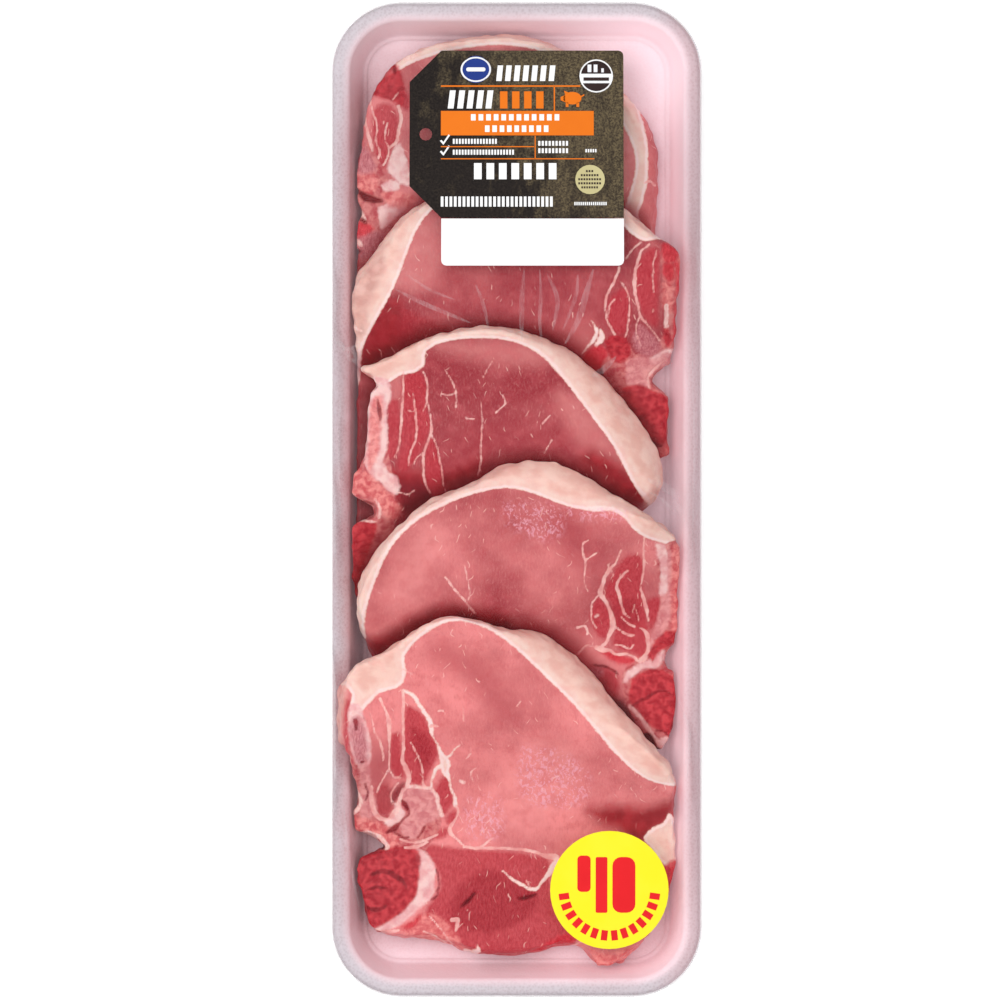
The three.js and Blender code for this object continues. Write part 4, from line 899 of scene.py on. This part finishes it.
def meat_look():
    """Raw pork: lean, fat and bone by how deep a point is in each, and the marks over them."""
    look = Look("raw_pork")
    patterns = {
        "patch": look.noise(4.5, 3),
        "streak": look.noise(0.8, 4, 0.6, look.stretched(0.8, 2.4, 1, 6), 0.4),
        "sponge": look.noise(2.6, 5, 0.52, None, 0.4),
        "torn": look.math("MULTIPLY_ADD", look.noise(1.7, 4, 0.6), 2.0, -1.0),
    }
    body = layered(look, lean_colour(look, patterns), UNDER_FAT, patterns)
    fields = look.scaled(look.noise(15, 2), 0.42, 0.58, 0, 0.65)
    hairs = look.times(look.dashes(5.5, 0.24, 1.5, 0.6), fields)
    body = look.mix(hairs, body, (246, 200, 190))
    fat, fat_depth = fat_colour(look, patterns)
    body = look.tint(body, fat, fat_depth, -0.3, 0.3)
    bone = look.mix(look.scaled(patterns["sponge"], 0.3, 0.7), (180, 70, 78), (214, 132, 129))
    edge = look.math("MULTIPLY_ADD", patterns["torn"], 0.8, look.attribute("bone"))
    body = look.tint(body, bone, edge, -0.5, 0.4)
    body = layered(look, body, OVER_FAT, patterns)
    # Painted shade: the meat darkens to crimson where the chop above lies close on it.
    contact_shade = look.scaled(look.attribute("contact_shade"), 0.2, 0.92)
    body = look.mix(contact_shade, body, (0.42, 0.11, 0.14, 1), "MULTIPLY")
    gleam = look.scaled(look.attribute("gleam"), -3.0, 1.5)
    # Painted highlights: pale lilac specks of wet glint laid into the colour over the gleam marks.
    painted_glints = look.scaled(look.noise(1.3, 4, 0.65, look.stretched(1, 1.6, 1, 15), 0.8), 0.5, 0.6)
    body = look.mix(look.times(look.times(painted_glints, gleam), 0.5), body, (240, 184, 202))

    height = look.math("MULTIPLY_ADD", patterns["streak"], 0.6, patterns["sponge"])
    shader = look.principled(
        base_color=body,
        roughness=look.scaled(look.noise(2.5, 3), 0.3, 0.7, 0.3, 0.5),
        normal=look.bump(look.times(look.noise(3.5, 3), gleam), 0.5, look.bump(height, 0.1)),
        subsurface_weight=0.18,
        subsurface_radius=(0.003, 0.0008, 0.0005),
        subsurface_scale=0.5,
        specular_ior_level=0.1,
    )
    return look.finish(shader)

# ---- Tray ----


def corner_point(inset, quarter, share):
    """A place on a quarter turn of the tray's outline, that far in from its edge."""
    radius = max(TRAY["corner"] - inset, TRAY["least_corner"])
    side_x, side_y = [(1, 1), (-1, 1), (-1, -1), (1, -1)][quarter % 4]
    angle = math.pi / 2 * (quarter + share)
    x = side_x * (TRAY["width"] / 2 - inset - radius) + radius * math.cos(angle)
    y = side_y * (TRAY["length"] / 2 - inset - radius) + radius * math.sin(angle)
    return x, y


def outline_ring(inset):
    """Points round the tray's outline, that far in from its edge, anticlockwise in plan."""
    points = []
    steps = TRAY["corner_steps"]
    for quarter, length in enumerate([TRAY["width"], TRAY["length"]] * 2):
        points += [corner_point(inset, quarter, step / steps) for step in range(steps + 1)]
        x, y = points[-1]
        end_x, end_y = corner_point(inset, quarter + 1, 0)
        pieces = round(length / TRAY["side_step"])
        for piece in range(1, pieces):
            share = piece / pieces
            points.append((x + (end_x - x) * share, y + (end_y - y) * share))
    return points


def tray_rings(wall):
    """The rings of a skin over a wall of points (in from the tray's edge, height)."""
    return [[(x, y, height) for x, y in outline_ring(inset)] for inset, height in wall]


def wall_curve(points, steps):
    """The points of a wall with a smooth curve through them."""
    return [(p[0], p[1]) for p in curve_through([(*point, 0) for point in points], steps)]


def add_tray(chops):
    """The foam tray: its CAD profile as a smooth curve, with a slightly uneven moulded surface."""
    wall = wall_curve(TRAY_WALL, steps=5)
    points, faces = lofted(tray_rings(wall))
    count = len(points) // len(wall)
    faces.append(tuple(reversed(range(count))))
    faces.append(tuple(range(len(points) - count, len(points))))
    points = np.array(points)
    waves = wavering(points, TRAY["wave"], TRAY["unevenness"])[:, 2]
    points[:, 2] += waves * soft_step(points[:, 2], *TRAY["uneven_above"])
    points[:, 2] = np.maximum(points[:, 2], 0)
    mesh = make_mesh("foam_tray", points, faces)
    crest = max(range(len(wall)), key=lambda row: wall[row][1])
    within = [inset if row > crest else 0.0 for row, (inset, _) in enumerate(wall)]
    set_values(mesh, "inside", soft_step(np.repeat(within, count), *TRAY["inside"]))
    # Painted shade: the foam is darkened pink near the chops, most on its side at negative x.
    side = soft_step(-points[:, 0], *TRAY["meat_shaded_side"])
    meat_shade = np.exp(-(plan_gap(points, chops) / TRAY["stain_width"]) ** 2)
    meat_shade *= TRAY["least_stain"] + (1 - TRAY["least_stain"]) * side
    set_values(mesh, "meat_shade", meat_shade)
    add_piece("foam_tray", mesh, foam_look(), ["tray"])


def plan_gap(points, chops):
    """How far each point is in plan from the nearest chop, by some of the chop's points."""
    gap = np.full(len(points), FAR * MM * 2)
    for chop in chops:
        flat = points_of(chop.data)[::CHOP["every"], :2]
        for i, (x, y) in enumerate(points[:, :2]):
            gap[i] = min(gap[i], np.hypot(flat[:, 0] - x, flat[:, 1] - y).min())
    return gap


def foam_look():
    """Pressed polystyrene foam: fine closed cells, cool grey white, pink inside. The grey of its outer
    wall and its lighter crest are painted shade and highlight, the dark pink near the meat is painted
    shade, and its inside has a painted pink glow.
    """
    look = Look("foam")
    cells = look.cells(1.1)["Distance"]
    east, _, height = look.axes()
    inside = look.attribute("inside")
    # Painted shade and highlight: the outer wall is grey and the crest lighter; high on the east side the
    # rim is pinker.
    outer = look.mix(look.noise(9, 3), (172, 160, 164), (184, 174, 178))
    crest = look.mix(cells, (196, 184, 190), (206, 198, 204))
    outer = look.tint(outer, crest, height, 0.0235, 0.0268)
    rosy = look.times(look.scaled(east, 0.05, 0.068, 0, 0.8), look.scaled(height, 0.018, 0.025))
    outer = look.mix(rosy, outer, (206, 172, 178))
    wall = look.mix(look.noise(24, 2), (246, 222, 228), (252, 232, 238))
    floor = look.mix(look.noise(24, 2), (240, 214, 221), (250, 234, 240))
    colour = look.mix(inside, outer, look.tint(wall, floor, height, 0.012, 0.006))
    # Painted shade: a patchy dark pink over the foam near the chops.
    shade_patches = look.scaled(look.noise(12, 3), 0.2, 0.7, 0.5, 0.85)
    colour = look.mix(look.times(look.attribute("meat_shade"), shade_patches), colour, (176, 112, 118))
    colour = look.tint(colour, (248, 240, 246), cells, 0.2, 0.6, 0.12)
    # Painted light: a faint pink glow inside the tray, stronger to the east and higher up.
    through = look.times(look.scaled(east, -0.06, 0.065, 0.2, 1), inside)
    through = look.times(through, look.scaled(height, 0.006, 0.014, 0.6, 1))
    shader = look.principled(
        base_color=colour,
        emission_color=look.mix(through, (0, 0, 0, 1), (0.23, 0.17, 0.19, 1)),
        emission_strength=1.0,
        roughness=look.scaled(cells, 0.1, 0.7, 0.5, 0.62),
        normal=look.bump(look.noise(4, 3), 0.15, look.bump(cells, 0.05)),
        specular_ior_level=0.25,
        subsurface_weight=0.1,
        subsurface_radius=(0.003, 0.0025, 0.0025),
        subsurface_scale=0.4,
    )
    return look.finish(shader)

# ---- Stretch film ----


# White lines along the film's stretch marks and creases, painted glints, in plan: half width and points
# in millimetres.
CREASE_GLINTS = [
    (0.7, [(-71, 62), (-69.5, 61.5), (-67, 59), (-63, 60.5)]),
    (0.5, [(-68.5, 61), (-66, 56), (-64.5, 59), (-62.5, 55), (-60.5, 58)]),
    (0.5, [(-67, 55.5), (-63, 54), (-60.5, 50.5)]),
    (0.7, [(3, 90), (2, 76), (2, 62)]),
    (0.5, [(9, 90), (9.5, 80), (9, 70), (10, 60)]),
    (0.6, [(12, 88), (16, 78), (14, 66)]),
    (0.9, [(30, 90), (27, 80), (24, 70), (19, 61)]),
    (0.5, [(24, 88), (23, 79), (18, 66)]),
    (0.6, [(-47, 82), (-35, 76), (-18, 69)]),
    (0.4, [(-43, 88), (-34, 82), (-24, 78)]),
    (0.5, [(-16, 84), (-13, 76), (-11, 67)]),
    (1.1, [(51, 8), (56, 6), (61, 3), (64, 0)]),
    (0.6, [(61, 1), (64, -4), (66, -9)]),
    (0.4, [(52, 3), (57, 0), (62, -5)]),
    (0.8, [(29, 48), (34, 51), (39, 56)]),
    (0.4, [(-38, -191), (-14, -192.5), (0, -192)]),
    (0.3, [(-69, 40), (-70, 20), (-69, -10)]),
    (0.3, [(69, 60), (70, 20), (69, -30)]),
    (0.4, [(64, -80), (68, -92), (67, -110)]),
    (0.4, [(-68, -120), (-66, -140), (-62, -160)]),
]


def film_outside():
    """The outer face of the film's CAD skin: its top and its walls, down to the tuck."""
    points, faces = welded("film")
    normals = face_normals(points, faces)
    normals /= np.linalg.norm(normals, axis=1)[:, None]
    centres = points[faces].mean(axis=1)
    spine_end = CAD_BOX[1][1] - FILM["end"]
    spine = np.clip(centres[:, 1], -spine_end, spine_end)
    away = np.column_stack([centres[:, 0], centres[:, 1] - spine])
    away /= np.maximum(np.linalg.norm(away, axis=1), 1e-9)[:, None]
    outward = (normals[:, :2] * away).sum(axis=1)
    wall = (outward > FILM["least_out"]) & (normals[:, 2] > FILM["most_down"])
    return points, faces[(normals[:, 2] > FILM["least_up"]) | wall]


def edge_distance(places):
    """How far in from the tray's edge each place is, in plan."""
    half = np.array([TRAY["width"], TRAY["length"]]) / 2
    corner = TRAY["corner"]
    beyond = np.abs(places[:, :2]) - (half - corner)
    outside = np.hypot(*np.maximum(beyond, 0).T)
    return corner - np.where(beyond.max(axis=1) > 0, outside, beyond.max(axis=1))


def held_by_cards(places):
    """How firmly the label or the sticker holds the film flat at each place, from 0 to 1."""
    beyond = (np.abs(places[:, :2] - np.array(LABEL["centre"])) - np.array(LABEL["half"])).max(axis=1)
    distance = np.hypot(*(places[:, :2] - np.array(STICKER["centre"])).T)
    by_label = soft_step(-beyond, *LABEL["hold"])
    return np.maximum(by_label, soft_step(STICKER["radius"] - distance, *STICKER["hold"]))


def add_film(chops):
    """The film: the CAD skin's outer face, drawn smooth and taut over the meat, with painted white glints
    along its creases.
    """
    mesh = make_mesh("stretch_film", *film_outside())
    mesh = modified(mesh, "SUBSURF", subdivision_type="SIMPLE", levels=FILM["levels"])
    edges = edges_of(mesh)
    places = points_of(mesh)
    top = soft_step(edge_distance(places), *FILM["top_inset"])
    top *= soft_step(places[:, 2], *FILM["top_height"])
    free = (top * (1 - held_by_cards(places)))[:, None]
    trees = [tree_of_mesh(chop.data) for chop in chops]
    floor = highest(trees, places[:, :2]) + FILM["over_meat"]
    for _ in range(FILM["rounds"]):
        places = smoothed(places, edges, FILM["round_passes"], free)
        lift = (floor > places[:, 2]) & (free[:, 0] > 0.5)
        places[lift, 2] = floor[lift]
    places = smoothed(places, edges, FILM["last_passes"], free)
    walls = (1 - top)[:, None] * soft_step(places[:, 2], *FILM["wall_height"])[:, None]
    places = smoothed(places, edges, FILM["wall_passes"], FILM["wall_weight"] * walls)
    places[:, 2] += wavering(places, FILM["wave"], FILM["unevenness"])[:, 2] * free[:, 0]
    move_points(mesh, places)
    add_piece("stretch_film", mesh, film_look("stretch_film", 0.0), ["film"])
    add_crease_glints(tree_of_mesh(mesh))


def ribbon(line, half_width):
    """The two edges of a strip that follows a line in plan and tapers to both ends."""
    curve = [np.array(p[:2]) for p in curve_through([(x, y, 0) for x, y in line], steps=6)]
    last = len(curve) - 1
    edges = []
    for i, middle in enumerate(curve):
        along = curve[min(i + 1, last)] - curve[max(i - 1, 0)]
        across = np.array([-along[1], along[0]]) / max(np.hypot(*along), 1e-9)
        share = FILM["taper"] + (1 - 2 * FILM["taper"]) * i / last
        half = half_width * math.sin(math.pi * share)
        edges.append((middle - across * half, middle + across * half))
    return edges


def add_crease_glints(film):
    """Painted white glints along the film's creases, as thin strips that lie on it."""
    points, faces = [], []
    for half_width, line in CREASE_GLINTS:
        for i, pair in enumerate(ribbon(line, half_width * FILM["widening"])):
            first = len(points)
            points.extend((x * MM, y * MM) for x, y in pair)
            if i:
                faces.append((first - 2, first, first + 1, first - 1))
    heights = highest([film], points) + FILM["crease"]
    mesh = make_mesh("film_crease_glints", [(*p, z) for p, z in zip(points, heights)], faces)
    add_piece("film_crease_glints", mesh, film_look("film_crease_glint", 0.06))


def add_underside():
    """The film's ends, gathered under the tray: a sheet that follows its floor, with flat folds."""
    wall = wall_curve(TRAY_WALL[:UNDERSIDE_POINTS], steps=4)[::-1]
    while wall[-1][0] < FILM_UNDER["inner"]:
        wall.append((wall[-1][0] + FILM_UNDER["ring_step"], wall[-1][1]))
    rings = tray_rings(wall)
    points, faces = lofted(rings)
    faces += closing_faces(rings[-1], len(points) - len(rings[-1]))
    mesh = make_mesh("film_under", points, [face[::-1] for face in faces])
    mesh = modified(mesh, "SUBSURF", subdivision_type="SIMPLE", levels=1)
    places = points_of(mesh)
    drawn_out = places * FILM_UNDER["fold_stretch"]
    folds = wavering(drawn_out, FILM_UNDER["fold_size"], FILM_UNDER["fold"])[:, 2]
    places[:, 2] += folds * soft_step(edge_distance(places), *FILM_UNDER["folded"])
    places += normals_of(mesh) * FILM_UNDER["lift"]
    places[:, 2] = np.maximum(places[:, 2], -FILM_UNDER["lift"])
    move_points(mesh, places)
    add_piece("film_under", mesh, film_look("film_under", 0.12))


def closing_faces(ring, first):
    """Faces that close a ring like a ladder, from its two long sides; first is its first point."""
    count = len(ring)
    start_x, start_y, _ = ring[0]
    across = [abs(x + start_x) + abs(y - start_y) for x, y, _ in ring]
    other = across.index(min(across))
    faces = []
    for step in range(-(other // 2), (count - other) // 2):
        corners = (-step, other + step, other + step + 1, -step - 1)
        faces.append(tuple(dict.fromkeys(first + corner % count for corner in corners)))
    return faces


def film_look(name, haze_and_glint):
    """Clear stretch film, with a thin gloss; a crease is whiter in streaks as a painted glint, and the
    folded film under the tray is whiter as a haze.
    """
    look = Look(name)
    streaks = look.noise(1.6, 3, 0.6, look.stretched(1, 5, 1, 8))
    gloss = look.node("ShaderNodeFresnel", {"IOR": 1.33}).outputs[0]
    # Painted glints: whiter streaks on a crease, and a white haze on the folds under the tray.
    white = look.scaled(streaks, 0.35, 0.65, 0.4 * haze_and_glint, 1.6 * haze_and_glint)
    cover = look.math("MINIMUM", look.math("MULTIPLY_ADD", gloss, 0.45, white), 0.9)
    coat = look.principled(
        base_color=look.mix(streaks, (240, 238, 246), (255, 255, 255)),
        roughness=look.scaled(streaks, 0.2, 0.8, 0.1, 0.22),
        normal=look.bump(look.noise(12, 3, 0.5, look.stretched(1, 2.5)), 0.5),
        specular_ior_level=0.4,
    )
    clear = look.node("ShaderNodeBsdfTransparent").outputs[0]
    return look.finish(look.node("ShaderNodeMixShader", {0: cover, 1: clear, 2: coat}).outputs[0])

# ---- Label and sticker ----


def card_look():
    """The tag's print: dark weathered boards, near black at the lower left, browner elsewhere."""
    look = Look("printed_card")
    speckle = look.noise(0.8, 5, 0.75)
    grain = look.noise(2.2, 4, 0.7, look.stretched(0.7, 3.0, 1, 2))
    scuffs = look.noise(9, 4, 0.65, look.stretched(0.8, 1.6))
    x, y = look.axes()[:2]
    corner = look.math("MULTIPLY_ADD", y, 0.7, x)
    brown = look.mix(look.scaled(speckle, 0.35, 0.65), (54, 45, 38), (116, 102, 76))
    black = look.mix(look.scaled(speckle, 0.35, 0.7), (26, 21, 20), (50, 43, 39))
    worn = look.math("ADD", look.scaled(corner, 0.055, 0.13), look.scaled(scuffs, 0.35, 0.7, -0.35, 0.35))
    colour = look.tint(black, brown, worn, 0.1, 0.95)
    colour = look.tint(colour, (36, 30, 29), grain, 0.55, 0.3, 0.6)
    shader = look.principled(
        base_color=colour,
        roughness=look.scaled(speckle, 0.2, 0.8, 0.5, 0.65),
        normal=look.bump(speckle, 0.02),
        specular_ior_level=0.1,
    )
    return look.finish(shader)


def ink_look(name, colour, other, roughness=0.5):
    """A flat printed colour, faintly uneven, on the card's own grain."""
    look = Look(name)
    fibre = look.noise(0.5, 4, 0.6)
    tone = look.tint(colour, other, look.noise(12, 2), 0.3, 0.7, 0.6)
    shader = look.principled(
        base_color=look.tint(tone, other, fibre, 0.45, 0.8, 0.2),
        roughness=look.scaled(fibre, 0.2, 0.8, roughness - 0.05, roughness + 0.08),
        normal=look.bump(fibre, 0.015),
        specular_ior_level=0.15,
    )
    return look.finish(shader)


# The shapes of print below are closed loops of (x, y), in millimetres from the card's centre.


def bar(x0, y0, x1, y1, corner=0.0):
    """A bar between two corners, rounded by as much as it has room for."""
    if corner <= 0:
        return [(x0, y0), (x1, y0), (x1, y1), (x0, y1)]
    corner = min(corner, (x1 - x0) / 2, (y1 - y0) / 2)
    right, top, left, low = x1 - corner, y1 - corner, x0 + corner, y0 + corner
    loop = []
    for quarter, (x, y) in enumerate([(right, top), (left, top), (left, low), (right, low)]):
        for step in range(5):
            angle = math.pi / 2 * (quarter + step / 4)
            loop.append((x + corner * math.cos(angle), y + corner * math.sin(angle)))
    return loop


def word(x0, x1, y, height, letters, slant=0.0):
    """A word as a row of plain upright blocks, one for each letter."""
    pitch = (x1 - x0) / letters
    half = height / 2
    lean = slant * height / 2
    blocks = []
    for left in (x0 + i * pitch for i in range(letters)):
        right = left + pitch * 0.62
        low = [(left - lean, y - half), (right - lean, y - half)]
        blocks.append(low + [(right + lean, y + half), (left + lean, y + half)])
    return blocks


def tick(x, y):
    """A tick mark with its foot at a place."""
    steps = [(-1.4, 0.6), (-0.8, 1.0), (0, 0.1), (2.0, 3.1), (2.6, 2.8), (0, -1.0)]
    return [(x + dx, y + dy) for dx, dy in steps]


def ring_loops(x, y, outer, inner, wide=1.0, steps=40):
    """A ring, drawn out along X, as a row of four-sided loops."""
    loops = []
    for step in range(steps):
        start, end = (2 * math.pi * (step + k) / steps for k in (0, 1))
        corners = [(outer, start), (outer, end), (inner, end), (inner, start)]
        loops.append([(x + wide * r * math.cos(a), y + r * math.sin(a)) for r, a in corners])
    return loops


def half_disc(x, y, radius, side, cut, steps=20):
    """The part of a disc that lies more than a cut above its centre, or below it with side -1."""
    start = math.asin(cut / radius)
    angles = [start + (math.pi - 2 * start) * step / steps for step in range(steps + 1)]
    loop = [(x + radius * math.cos(a), y + side * radius * math.sin(a)) for a in angles]
    return [loop if side > 0 else loop[::-1]]


def beast(x, y):
    """A plain little farm animal from its side: a round body, a snout, an ear, legs and a tail."""
    turns = [2 * math.pi * step / 24 for step in range(24)]
    body = [(x + 3.6 * math.cos(turn), y + 0.4 + 2.5 * math.sin(turn)) for turn in turns]
    snout = [(x - 2.8, y + 1.6), (x - 4.6, y + 0.9), (x - 4.6, y - 0.4), (x - 2.8, y - 1.2)]
    ear = [(x - 2.9, y + 2.0), (x - 3.3, y + 3.4), (x - 1.4, y + 2.6)]
    legs = [bar(x + k, y - 3.1, x + k + 1.1, y - 1.2) for k in (-2.6, 1.6)]
    tail = [(x + 3.3, y + 1.2), (x + 4.6, y + 2.0), (x + 4.8, y + 1.5), (x + 3.5, y + 0.7)]
    return [body, snout, ear, tail] + legs


def printed(name, loops, card, onto, material, layers=1):
    """Loops laid on a card's solids, cut fine and pressed on, as many layers of ink thick."""
    shapes = bmesh.new()
    x0, y0 = card["centre"]
    for loop in loops:
        shapes.faces.new([shapes.verts.new((x0 + x * MM, y0 + y * MM, 0)) for x, y in loop])
    low = min(vertex.co.y for vertex in shapes.verts)
    high = max(vertex.co.y for vertex in shapes.verts)
    for step in range(1, int((high - low) / PRINT_STEP) + 1):
        parts = shapes.verts[:] + shapes.edges[:] + shapes.faces[:]
        place = (0, low + step * PRINT_STEP, 0)
        bmesh.ops.bisect_plane(shapes, geom=parts, plane_co=place, plane_no=(0, 1, 0))
    bmesh.ops.triangulate(shapes, faces=shapes.faces[:])
    heights = highest([tree_of(*welded(node)) for node in onto], [v.co.xy for v in shapes.verts])
    for vertex, height in zip(shapes.verts, heights):
        vertex.co.z = height + LABEL["print"] * layers
    for face in shapes.faces:
        if face.normal.z < 0:
            face.normal_flip()
    mesh = bpy.data.meshes.new(name)
    shapes.to_mesh(mesh)
    shapes.free()
    add_piece(name, mesh, material)


# Rows of print on the label, in millimetres from its centre: left, right, middle height, height,
# number of letters and slant.
WHITE_ROWS = [
    (-7.7, 16.3, 33.5, 6.2, 7, 0.1), (-26.6, -8.1, 23.1, 7.2, 5, 0.12), (-17.9, 17.9, 16.0, 2.5, 12),
    (-12.4, 13.6, 11.5, 2.6, 9), (-25, -7.3, 6.5, 2, 15), (-25, -0.6, 2.2, 2, 21),
    (8.5, 20.7, 5.7, 1.9, 9), (8.5, 20.7, 2.8, 1.9, 9), (27, 31.7, 2.8, 1.3, 5),
    (-16.7, 17.5, -5.3, 6.4, 7), (-29.7, 14.8, -17.3, 4.0, 26), (22.6, 35.6, -18.1, 1.3, 16),
]
ORANGE_ROW = (-6.5, 12.4, 22.9, 6.8, 4)
ORANGE_RULES = [
    (-29.7, 28.1, 25, 28.7), (14.6, 18.5, 15.1, 28.4), (-29.7, 4.2, 6.9, 4.6), (7.1, -0.4, 7.5, 8.7),
    (-29.7, -0.6, 30.5, -0.2),
]
CREAM_ROWS = {"half_widths": (1.6, 3.6, 4.6, 4.6, 3.4), "top": 3.3, "pitch": 1.6, "height": 0.8}
# The sticker's figures as plain blocks: left, low, right, high and corner, in millimetres.
PRICE_BLOCKS = [(-12.6, -0.7, -7.4, 13.6, 1.6), (-5.4, -9, -0.8, 13, 0.6), (1.2, -9, 10.2, 13, 3.4)]
ARC = {"radius": 18.0, "blocks": 14, "from": 188, "to": 352, "half_width": 1.25, "half_height": 2.0}


def cream_marks(x, y):
    """The rows of print on the cream badge."""
    marks = []
    for row, half in enumerate(CREAM_ROWS["half_widths"]):
        middle = y + CREAM_ROWS["top"] - CREAM_ROWS["pitch"] * row
        marks += word(x - half, x + half, middle, CREAM_ROWS["height"], max(3, round(half * 2)))
    return marks


def add_label():
    """The card's materials, and its print as plain blocks, bars and shapes."""
    paper = ink_look("white_paper", (252, 252, 252), (246, 247, 250))
    orange = ink_look("orange_ink", (238, 122, 24), (232, 115, 21))
    on_tag = {
        "label_tag": card_look(),
        "label_band": orange,
        "label_badge_blue": ink_look("blue_ink", (34, 58, 136), (42, 68, 148)),
        "label_badge_white": paper,
        "label_badge_cream": ink_look("cream_ink", (205, 195, 145), (196, 186, 136)),
    }
    for node, material in {**on_tag, "label_panel": paper}.items():
        set_material(NODES[node].data, material)

    white = [block for row in WHITE_ROWS for block in word(*row)]
    white += [tick(-28.7, 6.1), tick(-28.7, 1.8)]
    printed("print_white", white, LABEL, on_tag, paper)
    rules = [bar(*rule) for rule in ORANGE_RULES] + word(*ORANGE_ROW) + beast(21.9, 23.2)
    printed("print_orange", rules, LABEL, on_tag, orange)

    pale = ink_look("badge_white", (246, 246, 250), (236, 238, 246))
    x, y = BADGES["blue"]
    ring = ring_loops(x, y, 5.0, 4.4, 1.2) + [bar(x - 3.8, y - 0.8, x + 3.8, y + 0.8, 0.8)]
    printed("print_badge", ring, LABEL, on_tag, pale, 3)

    dark = ink_look("dark_ink", (44, 30, 30), (58, 42, 40))
    x, y = BADGES["white"]
    marks = half_disc(x, y, 6.0, 1, 0.9) + half_disc(x, y, 6.0, -1, 2.9)
    marks += [bar(x - 5, y - 1.9, x + 5, y - 0.6)] + cream_marks(*BADGES["cream"])
    printed("print_dark", marks, LABEL, on_tag, dark, 3)
    figures = word(x - 3.4, x + 1.4, y + 3, 3, 2) + word(x + 2, x + 3.6, y + 2.2, 1.6, 1)
    printed("print_figures", figures, LABEL, on_tag, pale, 5)


def add_sticker():
    """The sticker's paper, with its figures as blocks and its line of print as an arc of bars."""
    yellow = ink_look("yellow_sticker", (252, 237, 33), (253, 240, 50), 0.45)
    red = ink_look("red_ink", (235, 30, 37), (224, 26, 34), 0.45)
    set_material(NODES["price_sticker"].data, yellow)
    blocks = [bar(*block) for block in PRICE_BLOCKS]
    half_x, half_y = ARC["half_width"], ARC["half_height"]
    for step in range(ARC["blocks"]):
        share = step / (ARC["blocks"] - 1)
        angle = math.radians(ARC["from"] + (ARC["to"] - ARC["from"]) * share)
        turn = Matrix.Rotation(angle + math.pi / 2, 2)
        middle = ARC["radius"] * Vector((math.cos(angle), math.sin(angle)))
        blocks.append([tuple(turn @ Vector(c) + middle) for c in bar(-half_x, -half_y, half_x, half_y)])
    printed("print_price", blocks, STICKER, ["price_sticker"], red)

# ---- Stage ----


def add_object(name, data, place):
    obj = bpy.data.objects.new(name, data)
    obj.location = place
    bpy.context.scene.collection.objects.link(obj)
    return obj


def add_floor():
    """A plain, faintly shining white floor."""
    half = FLOOR["half"]
    corners = [(-half, -half, 0), (half, -half, 0), (half, half, 0), (-half, half, 0)]
    floor = add_object("floor", make_mesh("floor", corners, [(0, 1, 2, 3)]), (0, 0, FLOOR["height"]))
    look = Look("floor")
    white = look.principled(
        base_color=look.mix(look.noise(400, 2), (0.86, 0.86, 0.86, 1), (0.9, 0.9, 0.9, 1)),
        roughness=0.9,
        emission_color=(1, 1, 1, 1),
        emission_strength=FLOOR["glow"],
    )
    floor.data.materials.append(look.finish(white))


def add_light(name, place, size, power):
    light = bpy.data.lights.new(name, "AREA")
    light.size = size
    light.energy = power
    lamp = add_object(name, light, place)
    lamp.rotation_euler = (-Vector(place)).to_track_quat("-Z", "Y").to_euler()


def add_stage():
    """The floor, a white sky, two soft lights and a camera straight above."""
    add_floor()
    world = bpy.data.worlds.new("studio")
    world.use_nodes = True
    background = world.node_tree.nodes["Background"].inputs
    background["Color"].default_value = (1, 1, 1, 1)
    background["Strength"].default_value = FLOOR["sky"]
    scene = bpy.context.scene
    scene.world = world
    scene.view_settings.view_transform = "Standard"
    scene.view_settings.look = "None"
    for name, light in LIGHTS.items():
        add_light(name, *light)

    camera = bpy.data.cameras.new("camera")
    camera.lens = CAMERA["lens_mm"]
    camera.sensor_width = CAMERA["sensor_mm"]
    camera.clip_end = 50
    scene.camera = add_object("camera", camera, CAMERA["place"])


def main():
    add_stage()
    meat = meat_look()
    chops = [make_chop(number, meat) for number in sorted(MARKS)]
    for lower, upper in zip(chops, chops[1:]):
        shade_under(lower, upper)
    add_tray(chops)
    add_film(chops)
    add_underside()
    add_label()
    add_sticker()


main()
